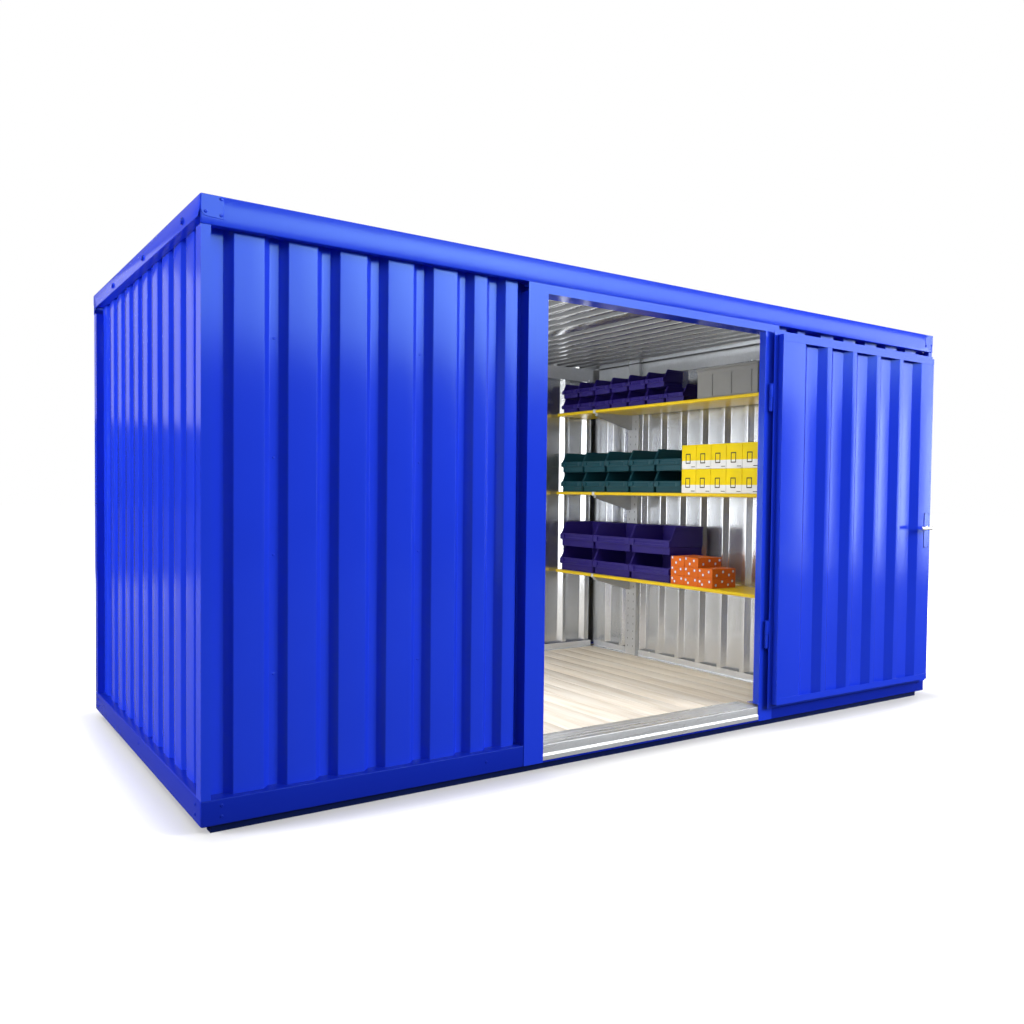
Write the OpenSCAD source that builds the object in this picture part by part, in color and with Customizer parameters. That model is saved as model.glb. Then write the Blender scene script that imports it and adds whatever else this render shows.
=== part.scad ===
// Knock-down steel storage container with one hinged door, wall shelves and stacked bins.
// Millimetres, +Z up, ground at Z = 0, doorway in the front wall, which faces -Y.
// Rest position: the door stands fully open, folded flat in front of the right part of the front wall.

/* [Overall] */
// Length over the roof frame
length = 4050; // [3600:10:6000]
// Width over the roof frame
width = 2170; // [1900:10:2600]
// Height from the ground to the top of the roof frame
height = 2150; // [2100:10:2600]

/* [Base frame] */
// Height of the foot rails
skid_h = 32; // [26:1:100]
// Width of the foot rails
skid_w = 50; // [40:1:70]
// Distance from the end of a base rail to the end of a foot rail
skid_end = 38; // [20:1:200]
// Height of the base rails
rail_h = 90; // [80:1:120]
// Width of the flanges of the base rails
rail_flange = 80; // [75:1:100]
// Sheet thickness of the base frame
frame_t = 3; // [2:0.5:4]
// Distance of the base rails inside the outline of the roof frame
rail_in = 3; // [1:1:10]
// Number of floor joists
joist_count = 7; // [4:1:10]
// Width of a floor joist
joist_w = 60; // [40:1:90]
// Thickness of the floor boards
floor_t = 22; // [18:1:28]
// How far the base rails stand above the threshold
rail_over_sill = 13; // [8:1:20]

/* [Wall sheets] */
// Sheet thickness of the walls
sheet_t = 1; // [0.8:0.1:1.5]
// Distance of the sheet crests inside the outline of the roof frame
crest_in = 35; // [30:1:45]
// Depth of the pressed ribs
rib_depth = 32; // [25:1:38]
// Length along the wall of one sloping rib flank
flank = 24.5; // [15:0.5:30]
// Width of a crest of the long walls
crest_w = 102; // [70:1:110]
// Distance between crests of the long walls
crest_pitch = 184; // [180:1:220]
// Distance from the corner to the first crest of a long wall
crest_first = 115; // [100:1:130]
// Width of the narrow crests beside the doorway
narrow_w = 58; // [40:1:60]
// Distance between the narrow crests beside the doorway
narrow_pitch = 142; // [130:1:160]
// Number of crests of an end wall
end_crests = 11; // [9:1:12]
// Width of the valley bottom between the crests of an end wall
end_valley = 34; // [25:1:45]
// How far the wall sheets reach up behind the roof frame
sheet_up = 50; // [36:1:60]

/* [Corner posts] */
// Sheet thickness of posts and jambs
post_t = 2; // [1.5:0.5:3]

/* [Doorway] */
// Clear width of the doorway
door_w = 1290; // [1000:10:1400]
// Distance of the middle of the doorway to the right of the middle of the wall
door_shift = -25; // [-100:5:100]
// Width of a door jamb
jamb_w = 95; // [80:1:110]
// Depth of the jamb face that looks into the doorway
reveal = 42; // [35:1:60]
// Height of the door header
header_h = 38; // [34:1:60]
// Depth of the door header
header_d = 100; // [80:1:120]
// Depth of the threshold plate
threshold_d = 155; // [110:1:200]
// How far the wall sheets reach behind the door jambs
sheet_lap = 20; // [10:1:30]
// Thickness of the threshold plate
threshold_t = 3; // [2:0.5:4]
// Height of the lip at the foot of the threshold
lip_h = 28; // [20:1:34]
// Height of the sloping top of the lip
lip_slope = 10; // [4:1:12]
// Height of the base rail that shows below the lip
lip_up = 12; // [6:1:20]
// How far the base rail reaches up behind the lip
lip_lap = 6; // [3:1:8]
// Distance of the threshold front inside the outline of the roof frame
sill_in = 5; // [2:1:10]

/* [Roof] */
// Height of the long sides of the roof frame
fascia_h = 100; // [90:1:130]
// Height of the short sides of the roof frame
end_fascia_h = 70; // [50:1:80]
// Sheet thickness of the roof frame
fascia_t = 2; // [1.5:0.5:3]
// Width of the top flange of the roof frame
fascia_top = 80; // [75:1:100]
// Length of the corner plates on the roof frame
corner_plate_w = 80; // [60:1:120]
// Thickness of the corner plates on the roof frame
corner_plate_t = 1; // [0.8:0.1:2]
// Distance of the corner plates above the lower edge of the roof frame
corner_plate_drop = 12; // [5:1:20]
// Diameter of the rivets of the corner plates
corner_rivet_d = 9; // [6:0.5:12]
// How far the rivets stand out of the corner plates
corner_rivet_h = 3; // [2:0.5:5]
// Distance of the rivets inside the edges of the corner plates
corner_rivet_in = 14; // [10:1:20]
// Distance of the first bolt of an end of the roof frame from the front
end_bolt_first = 245; // [200:5:400]
// Number of bolts at an end of the roof frame
end_bolt_count = 3; // [2:1:4]
// Distance of the last bolt of an end of the roof frame from the rear
end_bolt_last = 565; // [200:5:600]
// Diameter of the heads of those bolts
end_bolt_d = 20; // [14:1:24]
// Height of the heads of those bolts
end_bolt_h = 10; // [6:1:14]
// Distance of those bolts above the lower edge of the roof frame's ends
end_bolt_up = 27; // [20:1:40]
// Distance between the ribs of the roof sheets
roof_pitch = 90; // [70:1:120]
// Depth of the ribs of the roof sheets
roof_rib = 35; // [20:1:40]
// Width of the lower face of a roof rib
roof_low = 25; // [15:1:30]
// Length along the roof of one sloping flank of a roof rib
roof_flank = 10; // [5:1:12]
// Number of roof sheets
roof_sheets = 4; // [3:1:6]
// Height of the rails under the roof sheets
top_rail_h = 85; // [60:1:100]
// Width of the ledge that carries the roof sheets
top_ledge = 40; // [30:1:50]
// Width of the lower lip of the rails under the roof sheets
top_lip = 15; // [8:1:25]
// Sheet thickness of the inner rails
inner_t = 2; // [1.5:0.5:3]
// Height of the rails along the edge of the floor
kick_h = 40; // [25:1:60]
// Width of the foot of the rails along the edge of the floor
kick_foot = 30; // [20:1:45]

/* [Door leaf] */
// Distance of the hinge axis to the right of the doorway
hinge_side = 29; // [20:1:40]
// Distance of the hinge axis out of the front of the door jamb
hinge_out = 15; // [14:1:20]
// Gap between the closed leaf and the door jamb in front of it
leaf_gap = 5; // [5:0.5:8]
// Depth of the leaf behind its outer flange
leaf_depth = 37; // [37:1:45]
// Gap between the closed leaf and the hinge side of the doorway
leaf_side_gap = 6; // [5:0.5:10]
// Gap between the closed leaf and the lock side of the doorway
leaf_lock_gap = 16; // [8:1:24]
// Gap between the closed leaf and the header
leaf_top_gap = 14; // [5:1:20]
// Gap between the closed leaf and the threshold
leaf_foot_gap = 11; // [5:1:20]
// How far the outer flange reaches past the leaf at the lock side
flange_lock = 40; // [25:1:42]
// How far the outer flange reaches past the leaf above and below
flange_end = 20; // [16:1:30]
// Distance of the outer flange from the hinge axis
flange_hinge = 9; // [8.5:0.5:12]
// Width of the outer frame of the leaf, measured from the edge of the leaf
leaf_frame_w = 80; // [76:1:110]
// Thickness of the outer frame of the leaf
leaf_frame_t = 2; // [1.5:0.5:2.5]
// Height of the strips across the top and the bottom of the leaf
leaf_strip_h = 33; // [20:1:60]
// Thickness of the strips across the top and the bottom of the leaf
leaf_strip_t = 1.5; // [1:0.5:2]
// Width of the flat margin of the leaf at the hinge side
margin_hinge = 165; // [120:1:180]
// Width of the flat margin of the leaf at the lock side
margin_lock = 118; // [100:1:130]
// Number of ribs of the leaf
leaf_ribs = 4; // [3:1:5]
// Width of a rib of the leaf
leaf_rib_w = 35; // [25:1:45]
// Length along the leaf of one sloping flank of its ribs
leaf_flank = 42; // [20:1:46]

/* [Hinges] */
// Outer diameter of a hinge knuckle
knuckle_d = 16; // [14:1:18]
// Diameter of a hinge pin
pin_d = 8; // [6:1:10]
// Gap around a hinge pin
pin_gap = 0.3; // [0.2:0.1:0.5]
// Height of a whole hinge
hinge_h = 140; // [100:1:180]
// Height of the middle of the lower hinge
hinge_low = 480; // [300:10:700]
// Height of the middle of the upper hinge
hinge_high = 1680; // [1300:10:1800]
// Gap between the two knuckles of a hinge
knuckle_gap = 1; // [0.5:0.5:3]
// Width of a hinge leaf, measured from the hinge axis
hinge_leaf_w = 55; // [40:1:65]
// Thickness of a hinge leaf
hinge_leaf_t = 3; // [2:0.5:3]

/* [Lock] */
// Height of the door handle
handle_z = 1012; // [900:1:1200]
// Distance of the handle from the lock edge of the leaf
handle_back = 37; // [34:1:42]
// Width of a lock plate
plate_w = 45; // [35:1:50]
// Height of a lock plate
plate_h = 205; // [150:1:260]
// Distance of the handle below the top of the lock plate
plate_top = 88; // [50:1:100]
// Thickness of a lock plate
plate_t = 3; // [2:0.5:4]
// Diameter of the handle spindle
spindle_d = 8; // [6:1:10]
// Gap around the handle spindle
spindle_gap = 0.5; // [0.3:0.1:0.8]
// Length of a lever
lever_l = 120; // [90:1:140]
// Height of a lever
lever_h = 18; // [14:1:24]
// Thickness of a lever
lever_t = 9; // [6:1:12]
// How far the inner lever stands out of the leaf
lever_out = 50; // [40:1:60]
// How far the outer lever stands out of the leaf
lever_back = 45; // [38:1:48]
// Width of the lock case
case_w = 70; // [55:1:74]
// Height of the lock case
case_h = 150; // [120:1:200]
// Thickness of the lock case
case_t = 15; // [12:1:20]
// How far the latch stands out of the edge of the leaf
latch_out = 10; // [6:1:10]
// Height of the latch
latch_h = 16; // [10:1:24]
// Thickness of the latch
latch_t = 10; // [6:1:10]

/* [Partition and shelves] */
// Distance of the partition to the right of the middle of the container
partition_x = 1070; // [900:10:1400]
// Number of crests of the partition
partition_crests = 11; // [9:1:12]
// Depth of the shelf boards
shelf_d = 300; // [200:5:320]
// Thickness of the shelf boards
shelf_t = 20; // [16:1:28]
// Distance of the shelf boards from the long walls
shelf_end = 8; // [2:1:40]
// Height of the top of the lowest shelf
shelf_low = 660; // [600:1:800]
// Height of the top of the middle shelf
shelf_mid = 1194; // [1150:1:1300]
// Height of the top of the highest shelf
shelf_high = 1728; // [1700:1:1765]
// Distance of the rear shelf upright from the rear outline
upright_rear = 541; // [300:1:900]
// Distance of the front shelf upright from the front outline
upright_front = 171; // [171:1:600]
// Width of a shelf upright
upright_w = 110; // [60:1:110]
// Depth of a shelf upright
upright_d = 25; // [20:1:40]
// Distance between the slots of an upright
slot_pitch = 50; // [50:1:100]
// Height of a slot
slot_h = 14; // [8:1:24]
// Width of a slot
slot_w = 4; // [3:0.5:6]
// Length of a shelf bracket
bracket_l = 285; // [200:5:290]
// Height of a shelf bracket at the upright
bracket_h = 98; // [50:1:110]
// Height of a shelf bracket at its tip
bracket_tip = 18; // [10:1:30]
// Width of a shelf bracket
bracket_w = 26; // [20:1:40]

/* [Bins and boxes] */
// Wall thickness of the bins
bin_t = 3; // [2:0.5:4]
// Gap between neighbouring bins
bin_gap = 3; // [1:1:8]
// Distance of the first bin from the rear end of a shelf
bin_start = 30; // [10:5:80]
// Width of a small bin
small_w = 179; // [160:1:190]
// Height of a small bin
small_h = 100; // [70:1:105]
// Width of a middle bin
mid_w = 250; // [200:1:255]
// Height of a middle bin
mid_h = 132; // [100:1:150]
// Number of middle bins in a row
mid_count = 5; // [3:1:5]
// Width of a large bin
large_w = 388; // [300:1:400]
// Height of a large bin
large_h = 165; // [120:1:190]
// Number of large bins in a row
large_count = 3; // [2:1:3]
// Width of a carton on the middle shelf
carton_w = 124; // [100:1:128]
// Height of a carton on the middle shelf
carton_h = 138; // [100:1:150]
// Gap between the small bins and the crate
crate_gap = 100; // [10:5:120]
// Width of the crate on the top shelf
crate_w = 500; // [400:10:560]
// Height of the crate on the top shelf
crate_h = 170; // [120:1:190]
// Width of a small carton on the lowest shelf
packet_w = 120; // [90:1:130]
// Height of a small carton on the lowest shelf
packet_h = 55; // [40:1:70]
// Depth of a small carton on the lowest shelf
packet_d = 180; // [120:5:260]
// Gap between neighbouring cartons
carton_gap = 1; // [0.5:0.5:5]
// Depth of the goods on the shelves
goods_d = 270; // [180:5:300]

/* [Hidden] */
$fn = 32;

// Clearance between pieces that seat without being drawn face to face
seat = 0.3;

// Heights
base_top = skid_h + rail_h;
sheet_top = height - fascia_h + sheet_up;
roof_low_z = height - fascia_h;
header_z = roof_low_z - header_h;
joist_h = rail_h - frame_t - floor_t - threshold_t - rail_over_sill;
floor_z = skid_h + frame_t + joist_h;
floor_top = floor_z + floor_t;
lip_z = skid_h + lip_up;

// Distances inward from the outline of the roof frame
valley_in = crest_in + rib_depth;
wall_in = valley_in + sheet_t;
corner_in = crest_in + sheet_t + seat;
flange_in = rail_in + rail_flange;
rib_step = crest_w + 2 * flank;

// Doorway along the front wall, measured from its left end
door_a = length / 2 + door_shift - door_w / 2;
door_b = door_a + door_w;
jamb_a = door_a - jamb_w;
jamb_b = door_b + jamb_w;

// Hinge axis and open leaf along the front wall
hinge_s = door_b + hinge_side;
leaf_a = hinge_s + hinge_side + leaf_side_gap;
leaf_b = hinge_s + (hinge_s - door_a) - leaf_lock_gap;
leaf_z0 = floor_top + threshold_t + leaf_foot_gap;
leaf_z1 = header_z - leaf_top_gap;
// Distances out of the roof frame outline, of the open leaf
skin_near = 2 * hinge_out - leaf_gap - leaf_frame_t;
skin_far = skin_near + leaf_frame_t;
leaf_face = skin_far + leaf_depth;
handle_s = leaf_b - handle_back;
latch_mid = skin_far + leaf_depth / 2;

// The origin lies in the middle of the whole outline, open leaf and lever included
front_reach = leaf_face + lever_out;
origin_shift = (front_reach - corner_plate_t - corner_rivet_h) / 2;

paint = [0.13, 0.22, 0.78];
zinc = [0.72, 0.74, 0.76];
timber = [0.85, 0.76, 0.62];
shelf_yellow = [0.93, 0.78, 0.10];
silver = [0.85, 0.85, 0.86];
violet = [0.17, 0.10, 0.45];
teal = [0.10, 0.36, 0.38];
carton_yellow = [0.95, 0.82, 0.05];

// Wall coordinates: x along the wall from its left end, y inward from the outline, z up
module wall_side(turn, l, w) {
    translate([0, origin_shift, 0])
        rotate(turn)
            translate([-l / 2, -w / 2, 0])
                children();
}
module at_front() { wall_side(0, length, width) children(); }
module at_right() { wall_side(90, width, length) children(); }
module at_rear() { wall_side(180, length, width) children(); }
module at_left() { wall_side(270, width, length) children(); }

// Block between two opposite corners
module block(low, high) {
    translate(low) cube(high - low);
}

// Outline of a pressed sheet from a to b, with crests at the outer line and valleys inward
function sheet_line(a, b, crests, depth, run) = concat(
    [[a, depth]],
    [for (c = crests) each [[c[0] - run, depth], [c[0], 0], [c[1], 0], [c[1] + run, depth]]],
    [[b, depth]]
);
function sheet_points(line, t) = concat(
    line,
    [for (i = [len(line) - 1:-1:0]) line[i] + [0, t]]
);

// Standing wall sheet, its crest faces at the distance inward
module standing_sheet(a, b, crests, inward, z0, z1) {
    translate([0, inward, z0])
        linear_extrude(z1 - z0)
            polygon(sheet_points(sheet_line(a, b, crests, rib_depth, flank), sheet_t));
}

// Crests of the stretch of wall beside the doorway, counted from the corner of the container
narrow_last = 32;
function side_crests(run_l) =
    let (
        narrow_b = run_l - narrow_last - narrow_w,
        narrow_a = narrow_b - narrow_pitch,
        count = floor((narrow_a - flank * 2 - crest_w - crest_first) / crest_pitch) + 1
    )
    concat(
        [for (i = [0:count - 1]) [crest_first + i * crest_pitch, crest_first + i * crest_pitch + crest_w]],
        [[narrow_a, narrow_a + narrow_w], [narrow_b, narrow_b + narrow_w]]
    );
function mirrored(crests, l) = [for (i = [len(crests) - 1:-1:0]) [l - crests[i][1], l - crests[i][0]]];

// Evenly spaced crests over the whole width of the container
function even_crests(l, count, valley) =
    let (pitch = l / count, w = pitch - 2 * flank - valley)
    [for (i = [0:count - 1]) [(i + 0.5) * pitch - w / 2, (i + 0.5) * pitch + w / 2]];

// Base frame
module base_rail(l) {
    color(paint) {
        block([rail_in, rail_in, skid_h], [l - rail_in, rail_in + frame_t, base_top]);
        for (z = [skid_h, base_top - frame_t])
            block([rail_in + frame_t, rail_in + frame_t / 2, z], [l - rail_in - frame_t, flange_in, z + frame_t]);
    }
}
module front_base_rail() {
    at_front() difference() {
        base_rail(length);
        block([door_a, 0, lip_z + lip_lap], [door_b, flange_in + 1, base_top + 1]);
    }
}
module rear_base_rail() {
    at_rear() base_rail(length);
}
module end_base_rail() {
    inner = rail_in + frame_t;
    color(paint) {
        block([inner, rail_in, skid_h], [width - inner, rail_in + frame_t, base_top]);
        for (z = [skid_h, base_top - frame_t])
            block([flange_in, rail_in + frame_t / 2, z], [width - flange_in, flange_in, z + frame_t]);
    }
}
module left_base_rail() {
    at_left() end_base_rail();
}
module right_base_rail() {
    at_right() end_base_rail();
}
module foot_rail() {
    ends = rail_in + skid_end;
    color("midnightblue") translate([0, crest_in, 0]) difference() {
        block([ends, 0, 0], [length - ends, skid_w, skid_h]);
        block([ends - 1, frame_t, frame_t], [length - ends + 1, skid_w - frame_t, skid_h - frame_t]);
    }
}
module foot_rails() {
    at_front() foot_rail();
    at_rear() foot_rail();
}
module floor_joists() {
    span_a = corner_in + flange_in;
    step = (length - 2 * span_a - joist_w) / (joist_count - 1);
    front = sill_in + threshold_t + seat;
    rear = width - rail_in - frame_t;
    color(paint) at_front() for (i = [0:joist_count - 1]) translate([span_a + i * step, 0, skid_h + frame_t])
        difference() {
            block([0, front, 0], [joist_w, rear, joist_h]);
            block([frame_t, front - 1, -1], [joist_w - frame_t, rear + 1, joist_h - frame_t]);
        }
}
module floor_boards() {
    edge = rail_in + frame_t;
    color(timber) at_front() difference() {
        block([edge, edge, floor_z], [length - edge, width - edge, floor_top]);
        block([door_a - 1, edge - 1, floor_z - 1], [door_b + 1, sill_in + threshold_t + seat, floor_top + 1]);
    }
}
module threshold() {
    face = sill_in;
    back = face + threshold_t;
    top = floor_top + threshold_t;
    crease = lip_z + lip_h;
    bend = crease - lip_slope;
    color(zinc) at_front() difference() {
        translate([door_a, 0, 0]) rotate([90, 0, 90]) linear_extrude(door_b - door_a) polygon([
            [0, lip_z], [threshold_t, lip_z], [threshold_t, bend], [back, crease], [back, floor_top],
            [face + threshold_d, floor_top], [face + threshold_d, top], [face, top], [face, crease], [0, bend]
        ]);
        for (i = [1:3])
            block([door_a + 20, face + i * threshold_d / 4 - 3, top - 1], [door_b - 20, face + i * threshold_d / 4 + 3, top + 1]);
    }
}

// Corner posts
module corner_post() {
    color(paint) difference() {
        block([rail_in, rail_in, base_top], [crest_in, valley_in, roof_low_z]);
        block(
            [rail_in + post_t, rail_in + post_t, base_top - 1],
            [crest_in - post_t, valley_in - post_t, roof_low_z + 1]
        );
    }
}
module post_front_left() {
    at_front() corner_post();
}
module post_front_right() {
    at_front() translate([length, 0, 0]) mirror([1, 0, 0]) corner_post();
}
module post_rear_right() {
    at_rear() corner_post();
}
module post_rear_left() {
    at_rear() translate([length, 0, 0]) mirror([1, 0, 0]) corner_post();
}

// Walls
module front_wall_left() {
    color(paint) at_front()
        standing_sheet(corner_in, jamb_a + sheet_lap, side_crests(jamb_a), crest_in, base_top, sheet_top);
}
module front_wall_right() {
    color(paint) at_front()
        standing_sheet(
            jamb_b - sheet_lap, length - corner_in,
            mirrored(side_crests(length - jamb_b), length), crest_in, base_top, sheet_top
        );
}
module front_wall_over_door() {
    a = jamb_a + sheet_lap + seat;
    b = jamb_b - sheet_lap - seat;
    gap = flank + sheet_lap;
    color(paint) at_front()
        standing_sheet(a, b, [[a + gap, b - gap]], crest_in, roof_low_z, sheet_top);
}
rear_count = floor((length - 2 * crest_first - crest_w) / crest_pitch) + 1;
rear_first = (length - (rear_count - 1) * crest_pitch) / 2;
rear_cut = [
    corner_in,
    rear_first + (floor(rear_count / 3) - 0.5) * crest_pitch,
    rear_first + (rear_count - floor(rear_count / 3) - 0.5) * crest_pitch,
    length - corner_in
];
module rear_panel(i) {
    a = rear_cut[i];
    b = rear_cut[i + 1];
    mids = [for (k = [0:rear_count - 1]) rear_first + k * crest_pitch];
    crests = [for (m = mids) if (m > a && m < b) [m - crest_w / 2, m + crest_w / 2]];
    color(paint) at_rear()
        standing_sheet(a + (i == 0 ? 0 : seat / 2), b - (i == 2 ? 0 : seat / 2), crests, crest_in, base_top, sheet_top);
}
module rear_wall_left() {
    rear_panel(2);
}
module rear_wall_middle() {
    rear_panel(1);
}
module rear_wall_right() {
    rear_panel(0);
}
module end_wall() {
    crests = even_crests(width, end_crests, end_valley);
    first = crests[0][0];
    last = crests[end_crests - 1][1];
    // The outermost crests end at the corners, so the points before and after them are left out
    whole = sheet_line(first, last, crests, rib_depth, flank);
    line = [for (i = [2:len(whole) - 3]) whole[i]];
    color(paint) translate([0, crest_in, base_top])
        linear_extrude(sheet_top - base_top)
            polygon(sheet_points(line, sheet_t));
}
module left_end_wall() {
    at_left() end_wall();
}
module right_end_wall() {
    at_right() end_wall();
}

// Partition, its narrow ribs towards the room with the shelves
partition_top = roof_low_z - top_rail_h;
module at_partition() {
    translate([partition_x, origin_shift, 0])
        rotate(90)
            translate([-width / 2, 0, 0])
                children();
}
module partition_wall() {
    a = wall_in + seat;
    b = width - a;
    every = even_crests(width, partition_crests, end_valley);
    crests = [for (i = [1:partition_crests - 2]) every[i]];
    clear = flange_in + seat;
    color(zinc) at_partition() difference() {
        translate([0, -rib_depth - sheet_t, floor_top])
            linear_extrude(partition_top - floor_top)
                polygon(sheet_points(sheet_line(a, b, crests, rib_depth, flank), sheet_t));
        for (x = [0, width - clear])
            block([x, -rib_depth - 2 * sheet_t, floor_top - 1], [x + clear, sheet_t, base_top + seat]);
    }
}

// Doorway
module jamb(side) {
    color(paint) translate([side < 0 ? jamb_a : jamb_b, 0, 0]) mirror([side < 0 ? 0 : 1, 0, 0]) {
        translate([0, 0, base_top]) linear_extrude(header_z - base_top) polygon([
            [0, 0], [jamb_w, 0], [jamb_w, reveal], [jamb_w - 30, reveal], [jamb_w - 30, reveal - post_t],
            [jamb_w - post_t, reveal - post_t], [jamb_w - post_t, post_t], [post_t, post_t],
            [post_t, valley_in - post_t], [18, valley_in - post_t], [18, valley_in], [0, valley_in]
        ]);
        block([0, 0, skid_h + frame_t], [jamb_w, rail_in, base_top + 1]);
    }
}
module door_jamb_left() {
    at_front() jamb(-1);
}
module door_jamb_right() {
    at_front() jamb(1);
}
module door_header() {
    lap = sheet_lap + seat;
    color(paint) at_front() difference() {
        block([jamb_a, 0, header_z], [jamb_b, header_d, roof_low_z]);
        block(
            [jamb_a - 1, post_t, header_z + post_t],
            [jamb_b + 1, header_d - post_t, roof_low_z - post_t]
        );
        // Its ends stop in front of the wall sheets
        for (x = [[jamb_a - 1, jamb_a + lap], [jamb_b - lap, jamb_b + 1]])
            block([x[0], valley_in - seat, header_z - 1], [x[1], header_d + 1, roof_low_z + 1]);
    }
}

// Roof frame
module long_fascia() {
    color(paint) {
        block([0, 0, roof_low_z], [length, fascia_t, height]);
        block([0, fascia_t / 2, height - fascia_t], [length, fascia_top, height]);
        block([0, fascia_t / 2, roof_low_z], [length, crest_in, roof_low_z + fascia_t]);
    }
}
module end_fascia() {
    low = height - end_fascia_h;
    notch = 25;
    color(paint) {
        translate([0, fascia_t, 0]) rotate([90, 0, 0]) linear_extrude(fascia_t) polygon([
            [fascia_t, low + notch], [fascia_t + notch, low],
            [width - fascia_t - notch, low], [width - fascia_t, low + notch],
            [width - fascia_t, height - fascia_t], [fascia_t, height - fascia_t]
        ]);
        block([fascia_top, 0, height - fascia_t], [width - fascia_top, fascia_top, height]);
        block([wall_in, fascia_t / 2, low], [width - wall_in, crest_in, low + fascia_t]);
    }
}
module front_fascia() {
    at_front() long_fascia();
}
module rear_fascia() {
    at_rear() long_fascia();
}
module left_fascia() {
    at_left() end_fascia();
}
module right_fascia() {
    at_right() end_fascia();
}
module corner_plate() {
    low = roof_low_z + corner_plate_drop;
    round_r = corner_rivet_in;
    rotate([90, 0, 0]) linear_extrude(corner_plate_t) polygon(concat(
        [for (a = [180:15:270]) [round_r + round_r * cos(a), low + round_r + round_r * sin(a)]],
        [[corner_plate_w, low], [corner_plate_w, height], [0, height]]
    ));
    for (x = [corner_rivet_in, corner_plate_w - corner_rivet_in])
        for (z = [low + corner_rivet_in, height - corner_rivet_in])
            translate([x, -corner_plate_t / 2, z]) rotate([90, 0, 0])
                cylinder(d = corner_rivet_d, h = corner_plate_t / 2 + corner_rivet_h);
}
module corner_plate_pair() {
    corner_plate();
    translate([length, 0, 0]) mirror([1, 0, 0]) corner_plate();
}
module fascia_corner_plates() {
    color(paint) {
        at_front() corner_plate_pair();
        at_rear() corner_plate_pair();
    }
}

// Bolts that hold the roof at the ends, counted from the front of the container
module end_bolts(places) {
    z = height - end_fascia_h + end_bolt_up;
    color(paint) for (x = places)
        translate([x, 0, z]) rotate([90, 0, 0]) cylinder(d = end_bolt_d, h = end_bolt_h, $fn = 6);
}
module fascia_bolts() {
    step = (width - end_bolt_first - end_bolt_last) / (end_bolt_count - 1);
    from_front = [for (i = [0:end_bolt_count - 1]) end_bolt_first + i * step];
    at_right() end_bolts(from_front);
    at_left() end_bolts([for (x = from_front) width - x]);
}

// Roof sheets, ribs across the container
module roof_sheets() {
    span = length - 2 * (wall_in + seat);
    panel = span / roof_sheets;
    count = floor(panel / roof_pitch);
    spare = panel - count * roof_pitch;
    high = roof_pitch - roof_low - 2 * roof_flank;
    run_y = width - 2 * (wall_in + seat);
    color(zinc) at_front() for (k = [0:roof_sheets - 1])
        translate([wall_in + seat + k * panel, wall_in + seat, roof_low_z + roof_rib]) {
            tops = [for (i = [0:count - 1])
                let (a = spare / 2 + i * roof_pitch + roof_low / 2 + roof_flank) [a, a + high]];
            line = sheet_line(seat / 2, panel - seat / 2, tops, roof_rib - sheet_t, roof_flank);
            translate([0, run_y, 0]) rotate([90, 0, 0]) linear_extrude(run_y) mirror([0, 1, 0])
                polygon(sheet_points(line, sheet_t));
        }
}

// Rails under the roof sheets
module top_rail(a, b) {
    color(zinc) {
        block([a, wall_in, partition_top], [b, wall_in + inner_t, roof_low_z]);
        block([a, wall_in + inner_t / 2, roof_low_z - inner_t], [b, wall_in + top_ledge, roof_low_z]);
        block([a, wall_in + inner_t / 2, partition_top], [b, wall_in + top_lip, partition_top + inner_t]);
    }
}
module inner_top_rails() {
    at_front() {
        top_rail(wall_in, jamb_a);
        top_rail(jamb_b, length - wall_in);
    }
    at_rear() top_rail(wall_in, length - wall_in);
}
module inner_end_rails() {
    a = wall_in + top_ledge;
    at_left() top_rail(a, width - a);
    at_right() top_rail(a, width - a);
    color(zinc) at_partition() {
        block([a, 0, partition_top], [width - a, inner_t, roof_low_z]);
        block([a, -top_ledge, roof_low_z - inner_t], [width - a, inner_t / 2, roof_low_z]);
        block([a, -rib_depth - sheet_t, partition_top], [width - a, inner_t / 2, partition_top + inner_t]);
    }
}

// Angles along the edge of the floor
module kick_rail(a, b, inward) {
    color(zinc) {
        block([a, inward, floor_top], [b, inward + inner_t, floor_top + kick_h]);
        block([a, inward + inner_t / 2, floor_top], [b, inward + kick_foot, floor_top + inner_t]);
    }
}
module floor_edge_rails() {
    right_end = length / 2 + partition_x - kick_foot - seat;
    left_start = flange_in + kick_foot + seat;
    at_front() {
        kick_rail(left_start, jamb_a, flange_in);
        kick_rail(jamb_b, right_end, flange_in);
    }
    at_rear() kick_rail(length - right_end, length - left_start, flange_in);
    at_left() kick_rail(flange_in, width - flange_in, flange_in);
    color(zinc) at_partition() {
        a = flange_in;
        block([a, 0, floor_top], [width - a, inner_t, floor_top + kick_h]);
        block([a, inner_t / 2, floor_top], [width - a, kick_foot, floor_top + inner_t]);
    }
}

// Shelves
shelf_tops = [shelf_low, shelf_mid, shelf_high];
upright_at = [upright_front, width - upright_rear];
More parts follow.
